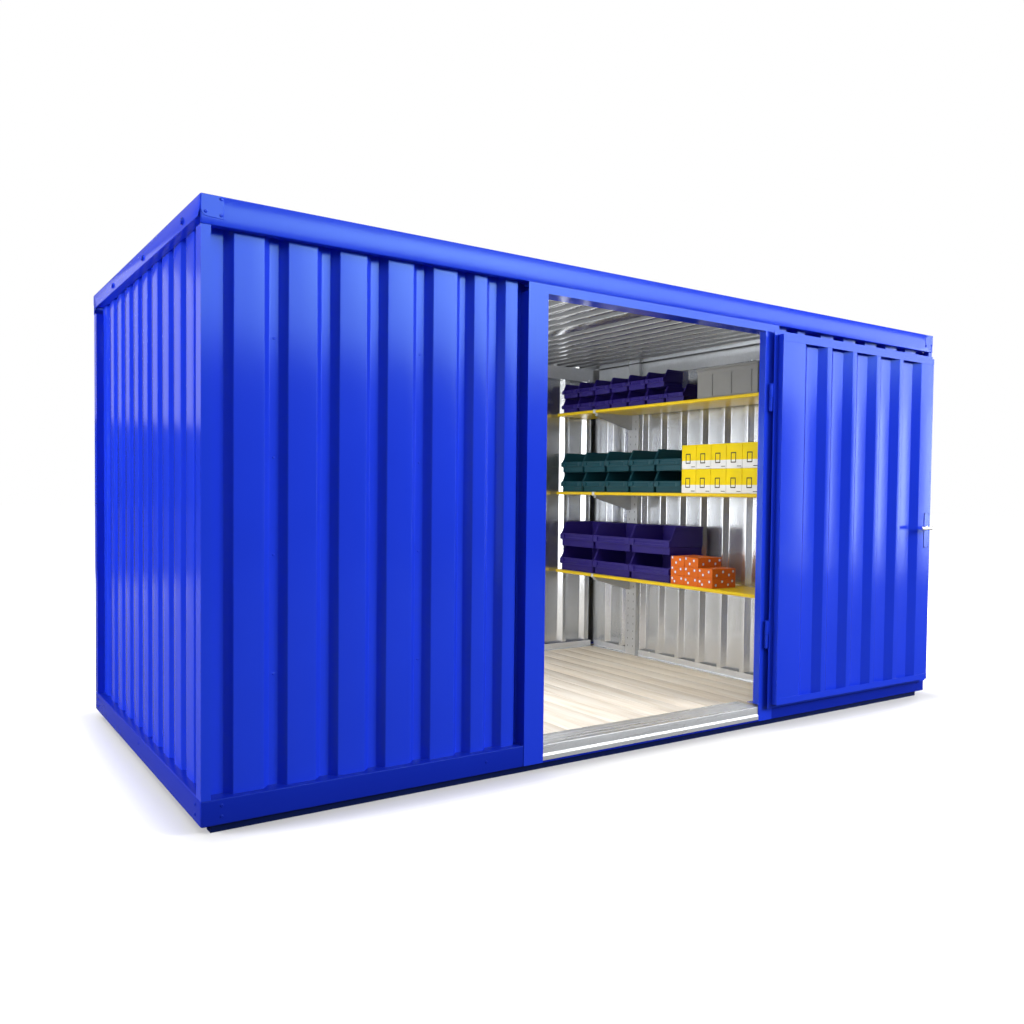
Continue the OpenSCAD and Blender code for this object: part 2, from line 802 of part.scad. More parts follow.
// A bracket hangs in the slots of an upright's outer column
slot_column = upright_w / 4;
bracket_at = [upright_at[0] - slot_column, upright_at[1] + slot_column];
module shelf_uprights() {
    z0 = floor_top + inner_t;
    z1 = roof_low_z - inner_t;
    color(zinc) at_partition() for (y = upright_at) translate([y - upright_w / 2, inner_t, z0]) difference() {
        cube([upright_w, upright_d, z1 - z0]);
        translate([inner_t, -1, -1]) cube([upright_w - 2 * inner_t, upright_d - inner_t + 1, z1 - z0 + 2]);
        for (x = [slot_column, upright_w - slot_column], k = [1:floor((z1 - z0) / slot_pitch / 2) - 1])
            translate([x - slot_w / 2, upright_d - inner_t - 1, k * slot_pitch * 2])
                cube([slot_w, inner_t + 2, slot_h]);
    }
}
module shelf_brackets() {
    face = inner_t + upright_d;
    color("dimgray") at_partition() for (y = bracket_at, top = shelf_tops)
        translate([y - bracket_w / 2, face, top - shelf_t]) difference() {
            rotate([90, 0, 90]) linear_extrude(bracket_w)
                polygon([[0, 0], [bracket_l, 0], [bracket_l, -bracket_tip], [0, -bracket_h]]);
            translate([inner_t, -1, 0]) rotate([90, 0, 90]) linear_extrude(bracket_w - 2 * inner_t)
                polygon([
                    [0, -inner_t], [bracket_l - inner_t, -inner_t],
                    [bracket_l - inner_t, -bracket_tip - 5], [0, -bracket_h - 5]
                ]);
        }
}
module shelf_boards() {
    face = inner_t + upright_d;
    a = wall_in + shelf_end;
    color(shelf_yellow) at_partition() for (top = shelf_tops)
        block([a, face, top - shelf_t], [width - a, face + shelf_d, top]);
}

// Open-fronted stacking bin, its low front towards the room: the front has this share of the
// height, and the sides lean back above it by this share
bin_front = 0.53;
bin_lean = 0.2;
module bin(w, h) {
    rotate([90, 0, 90]) difference() {
        linear_extrude(w) polygon([
            [0, 0], [goods_d, 0], [goods_d, h * bin_front], [goods_d - h * bin_lean, h], [0, h]
        ]);
        translate([0, 0, bin_t]) linear_extrude(w - 2 * bin_t) polygon([
            [bin_t, bin_t], [goods_d - bin_t, bin_t], [goods_d - bin_t, h * bin_front + 1],
            [goods_d - bin_t, h + 1], [bin_t, h + 1]
        ]);
    }
}
module bin_rows(w, h, counts, top, start) {
    for (row = [0, 1], i = [0:counts[row] - 1])
        translate([start - (i + 1) * (w + bin_gap), 0, top + row * h])
            bin(w, h);
}
// Goods stand on a shelf between the upright and the front edge of the board
goods_face = inner_t + upright_d + (shelf_d - goods_d) / 2;
goods_start = width - wall_in - shelf_end - bin_start;
goods_stop = wall_in + shelf_end;
function row_end(w, count) = goods_start - count * (w + bin_gap);
// As many as the shelf still takes
function that_fit(w, start, stop) = floor((start - stop) / w);
module goods() {
    at_partition() translate([0, goods_face, 0]) children();
}
module top_shelf_goods() {
    count = that_fit(small_w + bin_gap, goods_start, goods_stop + crate_w + crate_gap);
    color(violet) goods() bin_rows(small_w, small_h, [count, count - 1], shelf_high, goods_start);
    b = row_end(small_w, count) - crate_gap;
    color("gray") goods() difference() {
        block([b - crate_w, 0, shelf_high], [b, goods_d, shelf_high + crate_h]);
        block(
            [b - crate_w + bin_t, bin_t, shelf_high + bin_t],
            [b - bin_t, goods_d - bin_t, shelf_high + crate_h + 1]
        );
    }
}
module middle_shelf_goods() {
    color(teal) goods() bin_rows(mid_w, mid_h, [mid_count, mid_count], shelf_mid, goods_start);
    b = row_end(mid_w, mid_count) - bin_gap;
    step = carton_w + carton_gap;
    color(carton_yellow) goods() for (row = [0, 1], i = [0:that_fit(step, b, goods_stop) - 1])
        translate([b - (i + 1) * step, 0, shelf_mid + row * carton_h])
            cube([carton_w, goods_d, carton_h]);
}
module low_shelf_goods() {
    color(violet) goods() bin_rows(large_w, large_h, [large_count, large_count], shelf_low, goods_start);
    b = row_end(large_w, large_count) - 4 * bin_gap;
    color("orangered") goods() for (i = [0:2], row = [0:(i < 2 ? 2 : 1)])
        translate([b - (i + 1) * (packet_w + carton_gap), goods_d - packet_d, shelf_low + row * packet_h])
            cube([packet_w, packet_d, packet_h]);
}

// Hinges: the lower knuckle and the pin belong to the jamb, the upper knuckle to the leaf
hinge_mid = [hinge_low, hinge_high];
knuckle_h = (hinge_h - knuckle_gap) / 2;
module hinge_posts() {
    color(paint) at_front() for (z = hinge_mid) translate([hinge_s, -hinge_out, z - hinge_h / 2]) {
        cylinder(d = knuckle_d, h = knuckle_h);
        cylinder(d = pin_d, h = hinge_h);
        block([0, 0, 0], [knuckle_d / 2, hinge_out, knuckle_h]);
        block([0, hinge_out - hinge_leaf_t, 0], [hinge_leaf_w, hinge_out, knuckle_h]);
    }
}
module door_hinge_leaves() {
    near = hinge_out - skin_near;
    color(paint) at_front() for (z = hinge_mid)
        translate([hinge_s, -hinge_out, z + hinge_h / 2 - knuckle_h]) difference() {
            union() {
                cylinder(d = knuckle_d, h = knuckle_h);
                block([0, near, 0], [hinge_leaf_w, near + hinge_leaf_t, knuckle_h]);
            }
            translate([0, 0, -1]) cylinder(d = pin_d + 2 * pin_gap, h = knuckle_h + 2);
        }
}

// Door leaf, drawn open: its outer face towards the wall, its inner face outward
module door_sheet() {
    rib_a = leaf_a + margin_hinge;
    rib_b = leaf_b - margin_lock;
    step = (rib_b - rib_a + leaf_rib_w) / (leaf_ribs + 1);
    edge = leaf_frame_t;
    // Recesses between the margins and the ribs, as crests of the sheet towards the outside
    pits = [for (i = [0:leaf_ribs]) [
        rib_a + i * step + leaf_flank,
        rib_a + (i + 1) * step - leaf_rib_w - leaf_flank
    ]];
    line = sheet_line(leaf_a + edge, leaf_b - edge, pits, rib_depth, leaf_flank);
    color(paint) at_front() difference() {
        translate([0, -leaf_face + rib_depth + sheet_t, leaf_z0 + edge])
            linear_extrude(leaf_z1 - leaf_z0 - 2 * edge)
                mirror([0, 1, 0]) polygon(sheet_points(line, sheet_t));
        spindle_hole();
    }
}
module spindle_hole() {
    translate([handle_s, 0, handle_z]) rotate([90, 0, 0])
        cylinder(d = spindle_d + 2 * spindle_gap, h = leaf_face + lever_out);
}
module leaf_block(a, b, z0, z1, near, far) {
    block([a, -far, z0], [b, -near, z1]);
}
module door_frame() {
    color(paint) at_front() difference() {
        union() {
            // Outer flange all round
            difference() {
                leaf_block(
                    hinge_s + flange_hinge, leaf_b + flange_lock,
                    leaf_z0 - flange_end, leaf_z1 + flange_end, skin_near, skin_far
                );
                leaf_block(
                    leaf_a + leaf_frame_w, leaf_b - leaf_frame_w,
                    leaf_z0 + leaf_frame_w, leaf_z1 - leaf_frame_w, skin_near - 1, skin_far + 1
                );
            }
            // Folded edge of the leaf
            difference() {
                leaf_block(leaf_a, leaf_b, leaf_z0, leaf_z1, skin_far - leaf_frame_t / 2, leaf_face + leaf_strip_t);
                leaf_block(
                    leaf_a + leaf_frame_t, leaf_b - leaf_frame_t,
                    leaf_z0 + leaf_frame_t, leaf_z1 - leaf_frame_t, skin_near, leaf_face + 2 * leaf_strip_t
                );
                leaf_block(
                    leaf_a - 1, leaf_b + 1,
                    leaf_z0 + leaf_strip_h, leaf_z1 - leaf_strip_h, leaf_face, leaf_face + 2 * leaf_strip_t
                );
            }
            // Strips across the top and the bottom of the inner face
            for (z = [leaf_z0, leaf_z1 - leaf_strip_h])
                leaf_block(leaf_a, leaf_b, z, z + leaf_strip_h, leaf_face, leaf_face + leaf_strip_t);
        }
        spindle_hole();
        leaf_block(
            leaf_b - leaf_frame_t - 1, leaf_b + 1,
            handle_z - latch_h / 2 - seat, handle_z + latch_h / 2 + seat,
            latch_mid - latch_t / 2 - seat, latch_mid + latch_t / 2 + seat
        );
    }
}
module lock_plates() {
    z1 = handle_z + plate_top;
    a = handle_s - plate_w / 2;
    color(paint) at_front() difference() {
        union() {
            leaf_block(a, a + plate_w, z1 - plate_h, z1, leaf_face, leaf_face + plate_t);
            leaf_block(a, a + plate_w, z1 - plate_h, z1, skin_near - plate_t, skin_near);
        }
        spindle_hole();
    }
}
module lock_case() {
    b = leaf_b - leaf_frame_t;
    color(silver) at_front() difference() {
        union() {
            leaf_block(
                b - case_w, b,
                handle_z - case_h / 2, handle_z + case_h / 2, latch_mid - case_t / 2, latch_mid + case_t / 2
            );
            leaf_block(
                b - 1, leaf_b + latch_out,
                handle_z - latch_h / 2, handle_z + latch_h / 2, latch_mid - latch_t / 2, latch_mid + latch_t / 2
            );
        }
        spindle_hole();
    }
}
module door_levers() {
    inner_face = leaf_face + lever_out;
    outer_face = skin_near - lever_back;
    module lever(near, far) {
        block([-lever_l + lever_h / 2, -far, -lever_h / 2], [0, -near, lever_h / 2]);
        for (x = [0, -lever_l + lever_h / 2])
            translate([x, -near, 0]) rotate([90, 0, 0]) cylinder(d = lever_h, h = far - near);
    }
    color(silver) at_front() translate([handle_s, 0, handle_z]) {
        translate([0, -outer_face, 0]) rotate([90, 0, 0]) cylinder(d = spindle_d, h = inner_face - outer_face);
        lever(inner_face - lever_t, inner_face);
        lever(outer_face, outer_face + lever_t);
    }
}

front_base_rail();
rear_base_rail();
left_base_rail();
right_base_rail();
foot_rails();
floor_joists();
floor_boards();
threshold();
post_front_left();
post_front_right();
post_rear_left();
post_rear_right();
front_wall_left();
front_wall_right();
front_wall_over_door();
rear_wall_left();
rear_wall_middle();
rear_wall_right();
left_end_wall();
right_end_wall();
partition_wall();
door_jamb_left();
door_jamb_right();
door_header();
front_fascia();
rear_fascia();
left_fascia();
right_fascia();
fascia_corner_plates();
fascia_bolts();
roof_sheets();
inner_top_rails();
inner_end_rails();
floor_edge_rails();
shelf_uprights();
shelf_brackets();
shelf_boards();
top_shelf_goods();
middle_shelf_goods();
low_shelf_goods();
hinge_posts();
door_sheet();
door_frame();
door_hinge_leaves();
lock_plates();
lock_case();
door_levers();
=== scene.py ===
import bmesh
import bpy
import numpy as np
from mathutils import Matrix, Vector


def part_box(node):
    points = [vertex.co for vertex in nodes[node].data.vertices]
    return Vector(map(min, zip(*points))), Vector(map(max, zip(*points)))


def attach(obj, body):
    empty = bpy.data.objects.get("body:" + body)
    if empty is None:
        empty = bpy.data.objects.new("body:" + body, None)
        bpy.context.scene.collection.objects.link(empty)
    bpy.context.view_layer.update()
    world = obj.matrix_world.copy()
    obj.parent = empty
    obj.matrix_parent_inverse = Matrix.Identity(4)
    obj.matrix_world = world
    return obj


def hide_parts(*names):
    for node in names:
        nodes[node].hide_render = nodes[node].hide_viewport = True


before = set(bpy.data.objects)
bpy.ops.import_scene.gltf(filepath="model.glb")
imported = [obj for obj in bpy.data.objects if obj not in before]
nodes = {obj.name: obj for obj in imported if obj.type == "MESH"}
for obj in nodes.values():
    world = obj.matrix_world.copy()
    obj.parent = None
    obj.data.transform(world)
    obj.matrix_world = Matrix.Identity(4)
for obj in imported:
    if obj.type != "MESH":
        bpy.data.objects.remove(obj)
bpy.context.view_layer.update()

# ---------------------------------------------------------------------------------------------
# Camera
# Stands off the left front corner at chest height, turned to the doorway and tipped slightly
# down, with the lens shifted sideways so that the whole container is in the frame.
camera_place = Vector((-2.80796, -4.39776, 1.17603))
camera_turn, camera_tip, camera_roll = 0.6667, -0.0335, 0.0156
ahead = np.array([np.sin(camera_turn) * np.cos(camera_tip), np.cos(camera_turn) * np.cos(camera_tip),
                  np.sin(camera_tip)])
level = np.array([np.cos(camera_turn), -np.sin(camera_turn), 0.0])
right = np.cos(camera_roll) * level + np.sin(camera_roll) * np.cross(level, ahead)
up = np.cross(right, ahead)
camera_data = bpy.data.cameras.new("camera")
camera_data.sensor_width = 36
camera_data.lens = 33.13
camera_data.shift_x = -0.1262
camera_data.shift_y = 0.0147
camera_data.clip_end = 200
camera = bpy.data.objects.new("camera", camera_data)
bpy.context.scene.collection.objects.link(camera)
camera_axes = Matrix(np.column_stack([right, up, -ahead]).tolist()).to_4x4()
camera.matrix_world = Matrix.Translation(camera_place) @ camera_axes
bpy.context.scene.camera = camera

# ---------------------------------------------------------------------------------------------
# Studio
# A white floor that keeps the short soft shadow under the container, and surroundings that are
# white to the eye, but give little light and are dim in the gloss. Broad lamps light the outside
# and the room, and panels that only gloss shows give the paint and the metal something bright.
bpy.context.scene.view_settings.view_transform = "Standard"


def new_finish(name, **plain):
    """A material with one shader, whose unvaried sockets are set directly on it."""
    finish = bpy.data.materials.new(name)
    finish.use_nodes = True
    shader = finish.node_tree.nodes["Principled BSDF"]
    for socket, value in plain.items():
        shader.inputs[socket.replace("_", " ")].default_value = value
    return finish, shader


def add(finish, kind, inputs=None, **settings):
    """One more node in a finish. An input is a value or another node's output."""
    node = finish.node_tree.nodes.new(kind)
    for name, value in settings.items():
        setattr(node, name, value)
    for socket, value in (inputs or {}).items():
        if isinstance(value, bpy.types.NodeSocket):
            finish.node_tree.links.new(value, node.inputs[socket])
        else:
            node.inputs[socket].default_value = value
    return node


def link(finish, output, socket):
    """Joins an output to a socket."""
    finish.node_tree.links.new(output, socket)


def spread(finish, value, low, high):
    """Spreads a value between 0 and 1 evenly over low to high."""
    return add(finish, "ShaderNodeMapRange", {"Value": value, "To Min": low, "To Max": high}).outputs[0]


def eased(finish, value, between, onto):
    """Takes a value from one span onto another on a softened step that levels out at both ends."""
    inputs = {"Value": value, "From Min": between[0], "From Max": between[1],
              "To Min": onto[0], "To Max": onto[1]}
    return add(finish, "ShaderNodeMapRange", inputs, interpolation_type="SMOOTHSTEP").outputs[0]


def number(finish, operation, *terms):
    """One step of arithmetic on numbers."""
    return add(finish, "ShaderNodeMath", dict(enumerate(terms)), operation=operation).outputs[0]


def vector(finish, operation, *terms):
    """One step of arithmetic on vectors, axis by axis."""
    return add(finish, "ShaderNodeVectorMath", dict(enumerate(terms)), operation=operation).outputs[0]


def object_point(finish):
    """The place of the point on the piece, in metres."""
    return add(finish, "ShaderNodeTexCoord").outputs["Object"]


world = bpy.data.worlds.new("surroundings")
bpy.context.scene.world = world
world.use_nodes = True
white_to_eye, light_given, gloss_at_horizon, gloss_above = 1.0, 0.12, 0.02, 0.3
horizon_sine, upper_sine = 0.08, 0.32
sky = world.node_tree.nodes["Background"]
sky.inputs["Color"].default_value = (1, 1, 1, 1)
rays = add(world, "ShaderNodeLightPath").outputs
looking = add(world, "ShaderNodeSeparateXYZ", {0: add(world, "ShaderNodeTexCoord").outputs["Generated"]})
in_gloss = eased(world, looking.outputs["Z"], (horizon_sine, upper_sine), (gloss_at_horizon, gloss_above))
by_ray = spread(world, rays["Is Glossy Ray"], light_given, in_gloss)
seen = number(world, "MAXIMUM", rays["Is Camera Ray"], rays["Is Transmission Ray"])
link(world, spread(world, seen, by_ray, white_to_eye), sky.inputs["Strength"])

# The floor fades from shade to white with the distance from the outline that stands on it.
footprint, footprint_y, shadow_reach, shadow_depth = (2.02, 1.08, 0), 0.054, 0.36, 0.12
floor_reach, floor_in_gloss, floor_in_light, floor_to_eye = 60.0, 0.04, 0.12, 0.65
ground_finish, ground_shader = new_finish("studio_floor", Roughness=0.9, Specular_IOR_Level=0.0,
                                          Emission_Color=(1, 1, 1, 1))
aside = vector(ground_finish, "SUBTRACT", object_point(ground_finish), (0.0, footprint_y, 0.0))
aside = vector(ground_finish, "SUBTRACT", vector(ground_finish, "ABSOLUTE", aside), footprint)
aside = vector(ground_finish, "MAXIMUM", aside, (0, 0, 0))
away = add(ground_finish, "ShaderNodeVectorMath", {0: aside}, operation="LENGTH").outputs["Value"]
fade = eased(ground_finish, away, (0.0, shadow_reach), (shadow_depth, 1.0))
rays = add(ground_finish, "ShaderNodeLightPath").outputs
glow = number(ground_finish, "MULTIPLY", rays["Is Camera Ray"], fade)
glint = number(ground_finish, "MULTIPLY_ADD", rays["Is Glossy Ray"], floor_in_gloss, glow)
link(ground_finish, glint, ground_shader.inputs["Emission Strength"])
tone = spread(ground_finish, rays["Is Camera Ray"], floor_in_light, floor_to_eye)
grey_of = add(ground_finish, "ShaderNodeCombineXYZ", {0: tone, 1: tone, 2: tone})
link(ground_finish, grey_of.outputs[0], ground_shader.inputs["Base Color"])
ground_corners = [(x * floor_reach, y * floor_reach, 0) for x, y in ((-1, -1), (1, -1), (1, 1), (-1, 1))]
ground_mesh = bpy.data.meshes.new("studio_floor")
ground_mesh.from_pydata(ground_corners, [], [(0, 1, 2, 3)])
ground_mesh.materials.append(ground_finish)
ground = bpy.data.objects.new("studio_floor", ground_mesh)
bpy.context.scene.collection.objects.link(ground)


def lamp(name, stand, aim, wide, tall, watts, gloss_only=False, no_gloss=False):
    """A rectangular lamp that faces the point aim and that no camera sees. A panel shows only in
    gloss; a fill only lights."""
    data = bpy.data.lights.new(name, "AREA")
    data.shape, data.size, data.size_y = "RECTANGLE", wide, tall
    data.energy = watts
    body = bpy.data.objects.new(name, data)
    bpy.context.scene.collection.objects.link(body)
    body.location = stand
    body.rotation_euler = (Vector(aim) - Vector(stand)).to_track_quat("-Z", "Y").to_euler()
    body.visible_camera = False
    body.visible_diffuse = not gloss_only
    body.visible_glossy = not no_gloss


for row in (("lamp_front", (5.5, -8.5, 4.0), (0, -1, 1.2), 4, 3, 1080),
            ("lamp_overhead", (-1.0, -4.6, 4.6), (0, -0.6, 1.2), 6, 2.4, 150),
            ("lamp_left", (-8.0, 0.6, 2.4), (-2, 0.1, 1.2), 2.4, 3.0, 660),
            ("lamp_rear", (-2.0, 9.0, 4.2), (0, 1, 1.2), 6, 3, 900),
            ("lamp_right", (9.0, 1.5, 3.0), (2, 0, 1.2), 3, 3, 500),
            ("lamp_room", (-0.4, -0.1, 1.98), (-0.3, 0.1, 0), 1.4, 1.2, 12)):
    lamp(*row, no_gloss=True)
lamp("lamp_inside", (-1.88, 0.05, 1.15), (1.0, 0.05, 1.15), 1.8, 1.5, 34)
for row in (("panel_high", (8.0, -12.0, 5.0), (8.0, 0, 5.0), 22, 3.2, 1000),
            ("panel_middle", (5.0, -12.0, 5.6), (5.0, 0, 5.6), 5, 1.6, 600),
            ("panel_leaf_left", (12.75, -12.0, 2.9), (12.75, 0, 2.9), 2.5, 5.2, 14),
            ("panel_leaf_middle", (15.0, -12.0, 2.9), (15.0, 0, 2.9), 2.0, 5.2, 85),
            ("panel_right", (18.4, -12.0, 2.9), (18.4, 0, 2.9), 4.4, 6.4, 780),
            ("panel_low_right", (13.2, -8.9, 0.01), (13.2, -8.9, 5.0), 6.0, 6.0, 300),
            ("panel_top", (0.0, -3.4, 7.5), (0, -1, 0), 14.0, 5.0, 400),
            ("panel_left", (-9.0, -5.0, 1.6), (-2, -0.5, 1.3), 2.0, 3.4, 24),
            ("panel_rear", (-5.0, 12.0, 3.4), (-5.0, 0, 3.4), 3.0, 2.4, 13)):
    lamp(*row, gloss_only=True)

# ---------------------------------------------------------------------------------------------
# Base frame
# Four rails of 3 mm sheet folded to a C, riveted at rounded corners, on two foot rails and seven
# joists. Powder coated in glossy ultramarine; the rails are a darker blue as painted shade, and the
# foot rails, set back under them, near black as painted shadow. Under the doorway the front rail
# keeps only a low web.
front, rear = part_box("front_fascia")[0].y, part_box("rear_fascia")[1].y
left, right_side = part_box("left_fascia")[0].x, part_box("right_fascia")[1].x
roof_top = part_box("front_fascia")[1].z
paint_look = {"clouds": (2.5, 4.0), "tones": (0.93, 1.07), "grain": (420.0, 0.12, 0.0004)}


def scaled(finish, colour, share):
    """A colour times a number."""
    inputs = {0: colour, "Scale": share}
    return add(finish, "ShaderNodeVectorMath", inputs, operation="SCALE").outputs[0]


def noise(finish, where, scale, detail, **inputs):
    """Smooth noise between 0 and 1, of the given scale per metre."""
    inputs.update(Vector=where, Scale=scale, Detail=detail)
    return add(finish, "ShaderNodeTexNoise", inputs).outputs["Fac"]


def bumped(finish, shader, height, strength, distance):
    """Turns a height into a bump on the shader."""
    bump = add(finish, "ShaderNodeBump", {"Height": height, "Strength": strength, "Distance": distance})
    link(finish, bump.outputs[0], shader.inputs["Normal"])


def mottled(name, colour, rough, specular, sheen, clouds, tones, grain):
    """Paint or plastic. Soft clouds, given by scale and detail, spread the colour over tones and
    the roughness over rough; a fine grain, given by scale, strength and height, is a bump."""
    finish, shader = new_finish(name, Specular_IOR_Level=specular, Specular_Tint=(*sheen, 1))
    spot = object_point(finish)
    cloud = noise(finish, spot, *clouds)
    link(finish, scaled(finish, colour, spread(finish, cloud, *tones)), shader.inputs["Base Color"])
    link(finish, spread(finish, cloud, *rough), shader.inputs["Roughness"])
    bumped(finish, shader, noise(finish, spot, grain[0], 1.0), *grain[1:])
    return finish


def painted(name, colour, rough=(0.12, 0.17), specular=0.4, sheen=(0.50, 0.90, 1.0)):
    """Powder coat: a slightly uneven colour, an uneven gloss and the fine ripple of the paint."""
    return mottled(name, colour, rough, specular, sheen, **paint_look)


blue = painted("blue_powder_coat", (0.010, 0.036, 0.58))
# Painted shade: the base rails' blue is darker than the walls' blue, for the dimmer light near the floor.
rail_shade_blue = painted("rail_coat_painted_shade", (0.005, 0.018, 0.34), (0.2, 0.3), 0.10)
# Painted shadow: the foot rails, set back under the base rails, are near black.
foot_shadow_blue = painted("foot_rail_painted_shadow", (0.003, 0.007, 0.07), (0.3, 0.4), 0.25)


def coat(finish, *names):
    """Gives CAD nodes that keep their own shape a finish."""
    for name in names:
        nodes[name].material_slots[0].material = finish


def rounded(line, radius, steps=4):
    """Every inner corner of a flat line becomes an arc. The arc starts radius * tan(turn / 2) before
    the corner, and its points are start + radius * (sin(a) * ahead + (1 - cos(a)) * inside), with a
    running from 0 to the turn. A point within 0.02 mm of the one before it is left out."""
    line = np.asarray(line, float)
    ahead = np.diff(line, axis=0)
    ahead /= np.linalg.norm(ahead, axis=1, keepdims=True)
    before, after = ahead[:-1], ahead[1:]
    turn = np.arctan2(before[:, 0] * after[:, 1] - before[:, 1] * after[:, 0], (before * after).sum(1))
    radius = np.broadcast_to(radius, turn.shape)[:, None]
    start = line[1:-1] - radius * np.abs(np.tan(turn / 2))[:, None] * before
    inside = np.sign(turn)[:, None] * np.column_stack([-before[:, 1], before[:, 0]])
    angle = np.abs(turn)[:, None] * np.linspace(0, 1, steps + 1)
    arcs = start[:, None] + radius[..., None] * (
        np.sin(angle)[..., None] * before[:, None] + (1 - np.cos(angle))[..., None] * inside[:, None])
    bent = np.vstack([line[:1], arcs.reshape(-1, 2), line[-1:]])
    return bent[np.r_[True, np.linalg.norm(np.diff(bent, axis=0), axis=1) > 2e-5]]


def folded(line, thickness):
    """Closed outline of a sheet whose outer side is the line: the line itself, then the same line
    moved to its right by the thickness, run backwards. At a corner the move is the mitre of its
    two sides."""
    line = np.asarray(line, float)
    ahead = np.diff(line, axis=0)
    ahead /= np.linalg.norm(ahead, axis=1, keepdims=True)
    across = np.column_stack([ahead[:, 1], -ahead[:, 0]])
    first, second = np.vstack([across[:1], across]), np.vstack([across, across[-1:]])
    mitre = (first + second) / (1 + (first * second).sum(1, keepdims=True))
    return np.vstack([line, (line + thickness * mitre)[::-1]])


def close_rings(name, stacks, finishes, mark, thin):
    """One mesh of several stacks of rings. In a stack each ring is joined to the next by four-sided
    faces. The end rings of a thin outline are closed straight across it, others with one face.
    mark gives the finish of each face of a stack by row and column."""
    corners, faces, marks, count = [], [], [], 0
    for rings in stacks:
        rows, cols = rings.shape[:2]
        index = np.arange(rows * cols).reshape(rows, cols) + count
        low, high = index[:-1], index[1:]
        sides = np.stack([low, np.roll(low, -1, 1), np.roll(high, -1, 1), high], -1).reshape(-1, 4)
        ends = index[[0, -1]]
        if thin:
            k = np.arange(cols // 2 - 1)
            ends = np.stack([ends[:, k], ends[:, k + 1], ends[:, cols - 2 - k], ends[:, cols - 1 - k]], -1)
            ends = ends.reshape(-1, 4)
        corners.append(rings.reshape(-1, 3))
        faces += sides.tolist() + ends.tolist()
        marked = np.broadcast_to(0 if mark is None else mark, (rows - 1, cols))
        marks += marked.ravel().tolist() + [int(marked[0, 0])] * len(ends)
        count += rows * cols
    mesh = bpy.data.meshes.new(name)
    mesh.from_pydata(np.vstack(corners).tolist(), [], faces)
    mesh.polygons.foreach_set("material_index", marks)
    shell = bmesh.new()
    shell.from_mesh(mesh)
    bmesh.ops.recalc_face_normals(shell, faces=shell.faces)
    shell.to_mesh(mesh)
    shell.free()
    mesh.shade_smooth()
    mesh.set_sharp_from_angle(angle=np.radians(32))
    for finish in finishes:
        mesh.materials.append(finish)
    return mesh


def piece(name, stacks, finishes, stands_for=(), body="container", mark=None, thin=False):
    """Puts stacks of rings in the scene as one piece of a body and its CAD nodes."""
    made = bpy.data.objects.new(name, close_rings(name, stacks, finishes, mark, thin))
    bpy.context.scene.collection.objects.link(made)
    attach(made, body)
    if stands_for:
        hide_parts(*stands_for)


def cornered(outline, start, stop, bend, corners=(True, True)):
    """A folded bar along the first axis, its outline given as depth behind the face and height. At
    a corner the face curves away on a quarter circle up to the mitre: ring k passes through the
    point (bend * (1 - cos a), bend * (1 - sin a)) and runs inwards from it at 45 degrees."""
    straight = 0.12
    depth, height = outline[:, 0], outline[:, 1]
    face = depth.min()
    angle = np.radians(np.linspace(45, 90, 5))[:, None]
    run_in, set_in = bend * (1 - np.cos(angle)), bend * (1 - np.sin(angle))
    turned_back = depth + set_in * (depth < face + 2 * bend)
    turned_run = turned_back - face + run_in - set_in
    along = [start + turned_run] if corners[0] else [np.full((1, len(depth)), start)]
    back = [turned_back] if corners[0] else [depth[None]]
    for s in (start + straight, stop - straight):
        along.append(np.full((1, len(depth)), s))
        back.append(depth[None])
    along.append((stop - turned_run)[::-1] if corners[1] else np.full((1, len(depth)), stop))
    back.append(turned_back[::-1] if corners[1] else depth[None])
    along, back = np.vstack(along), np.vstack(back)
    return np.stack([along, back, np.broadcast_to(height, along.shape)], -1)


def on_side(rings, side, face):
    """Turns bars drawn with the path on the first axis and depth on the second to a side of the
    container. face is the distance of their face behind the outline."""
    axis, outline, inwards = {"front": (1, front, 1), "rear": (1, rear, -1),
                              "left": (0, left, 1), "right": (0, right_side, -1)}[side]
    moved = rings.copy()
    moved[..., axis] = outline + inwards * (rings[..., 1] + face)
    moved[..., 1 - axis] = rings[..., 0]
    return moved


def turned(middle, facing, profile, sides=16):
    """Rings of a round or many-sided head that stands on a face. facing is its axis and the sign
    of the way out; the profile gives (radius, height above the face) for each ring."""
    angle = np.linspace(0, 2 * np.pi, sides + 1)[:-1]
    first, second = [axis for axis in range(3) if axis != facing[0]]
    radius, height = np.array(profile, float).T
    rings = np.tile(np.asarray(middle, float), (len(radius), sides, 1))
    rings[..., first] += radius[:, None] * np.cos(angle)
    rings[..., second] += radius[:, None] * np.sin(angle)
    rings[..., facing[0]] += facing[1] * height[:, None]
    return rings


def rivet(middle, facing, radius=0.0065):
    """A blind rivet: a flat flange under a low dome with the dimple of its mandrel."""
    shares_and_heights = ((1, -0.001), (1, 0.0006), (0.88, 0.0013), (0.62, 0.0022), (0.42, 0.0025),
                          (0.36, 0.0018), (0.05, 0.0016))
    return turned(middle, facing, [(share * radius, height) for share, height in shares_and_heights])


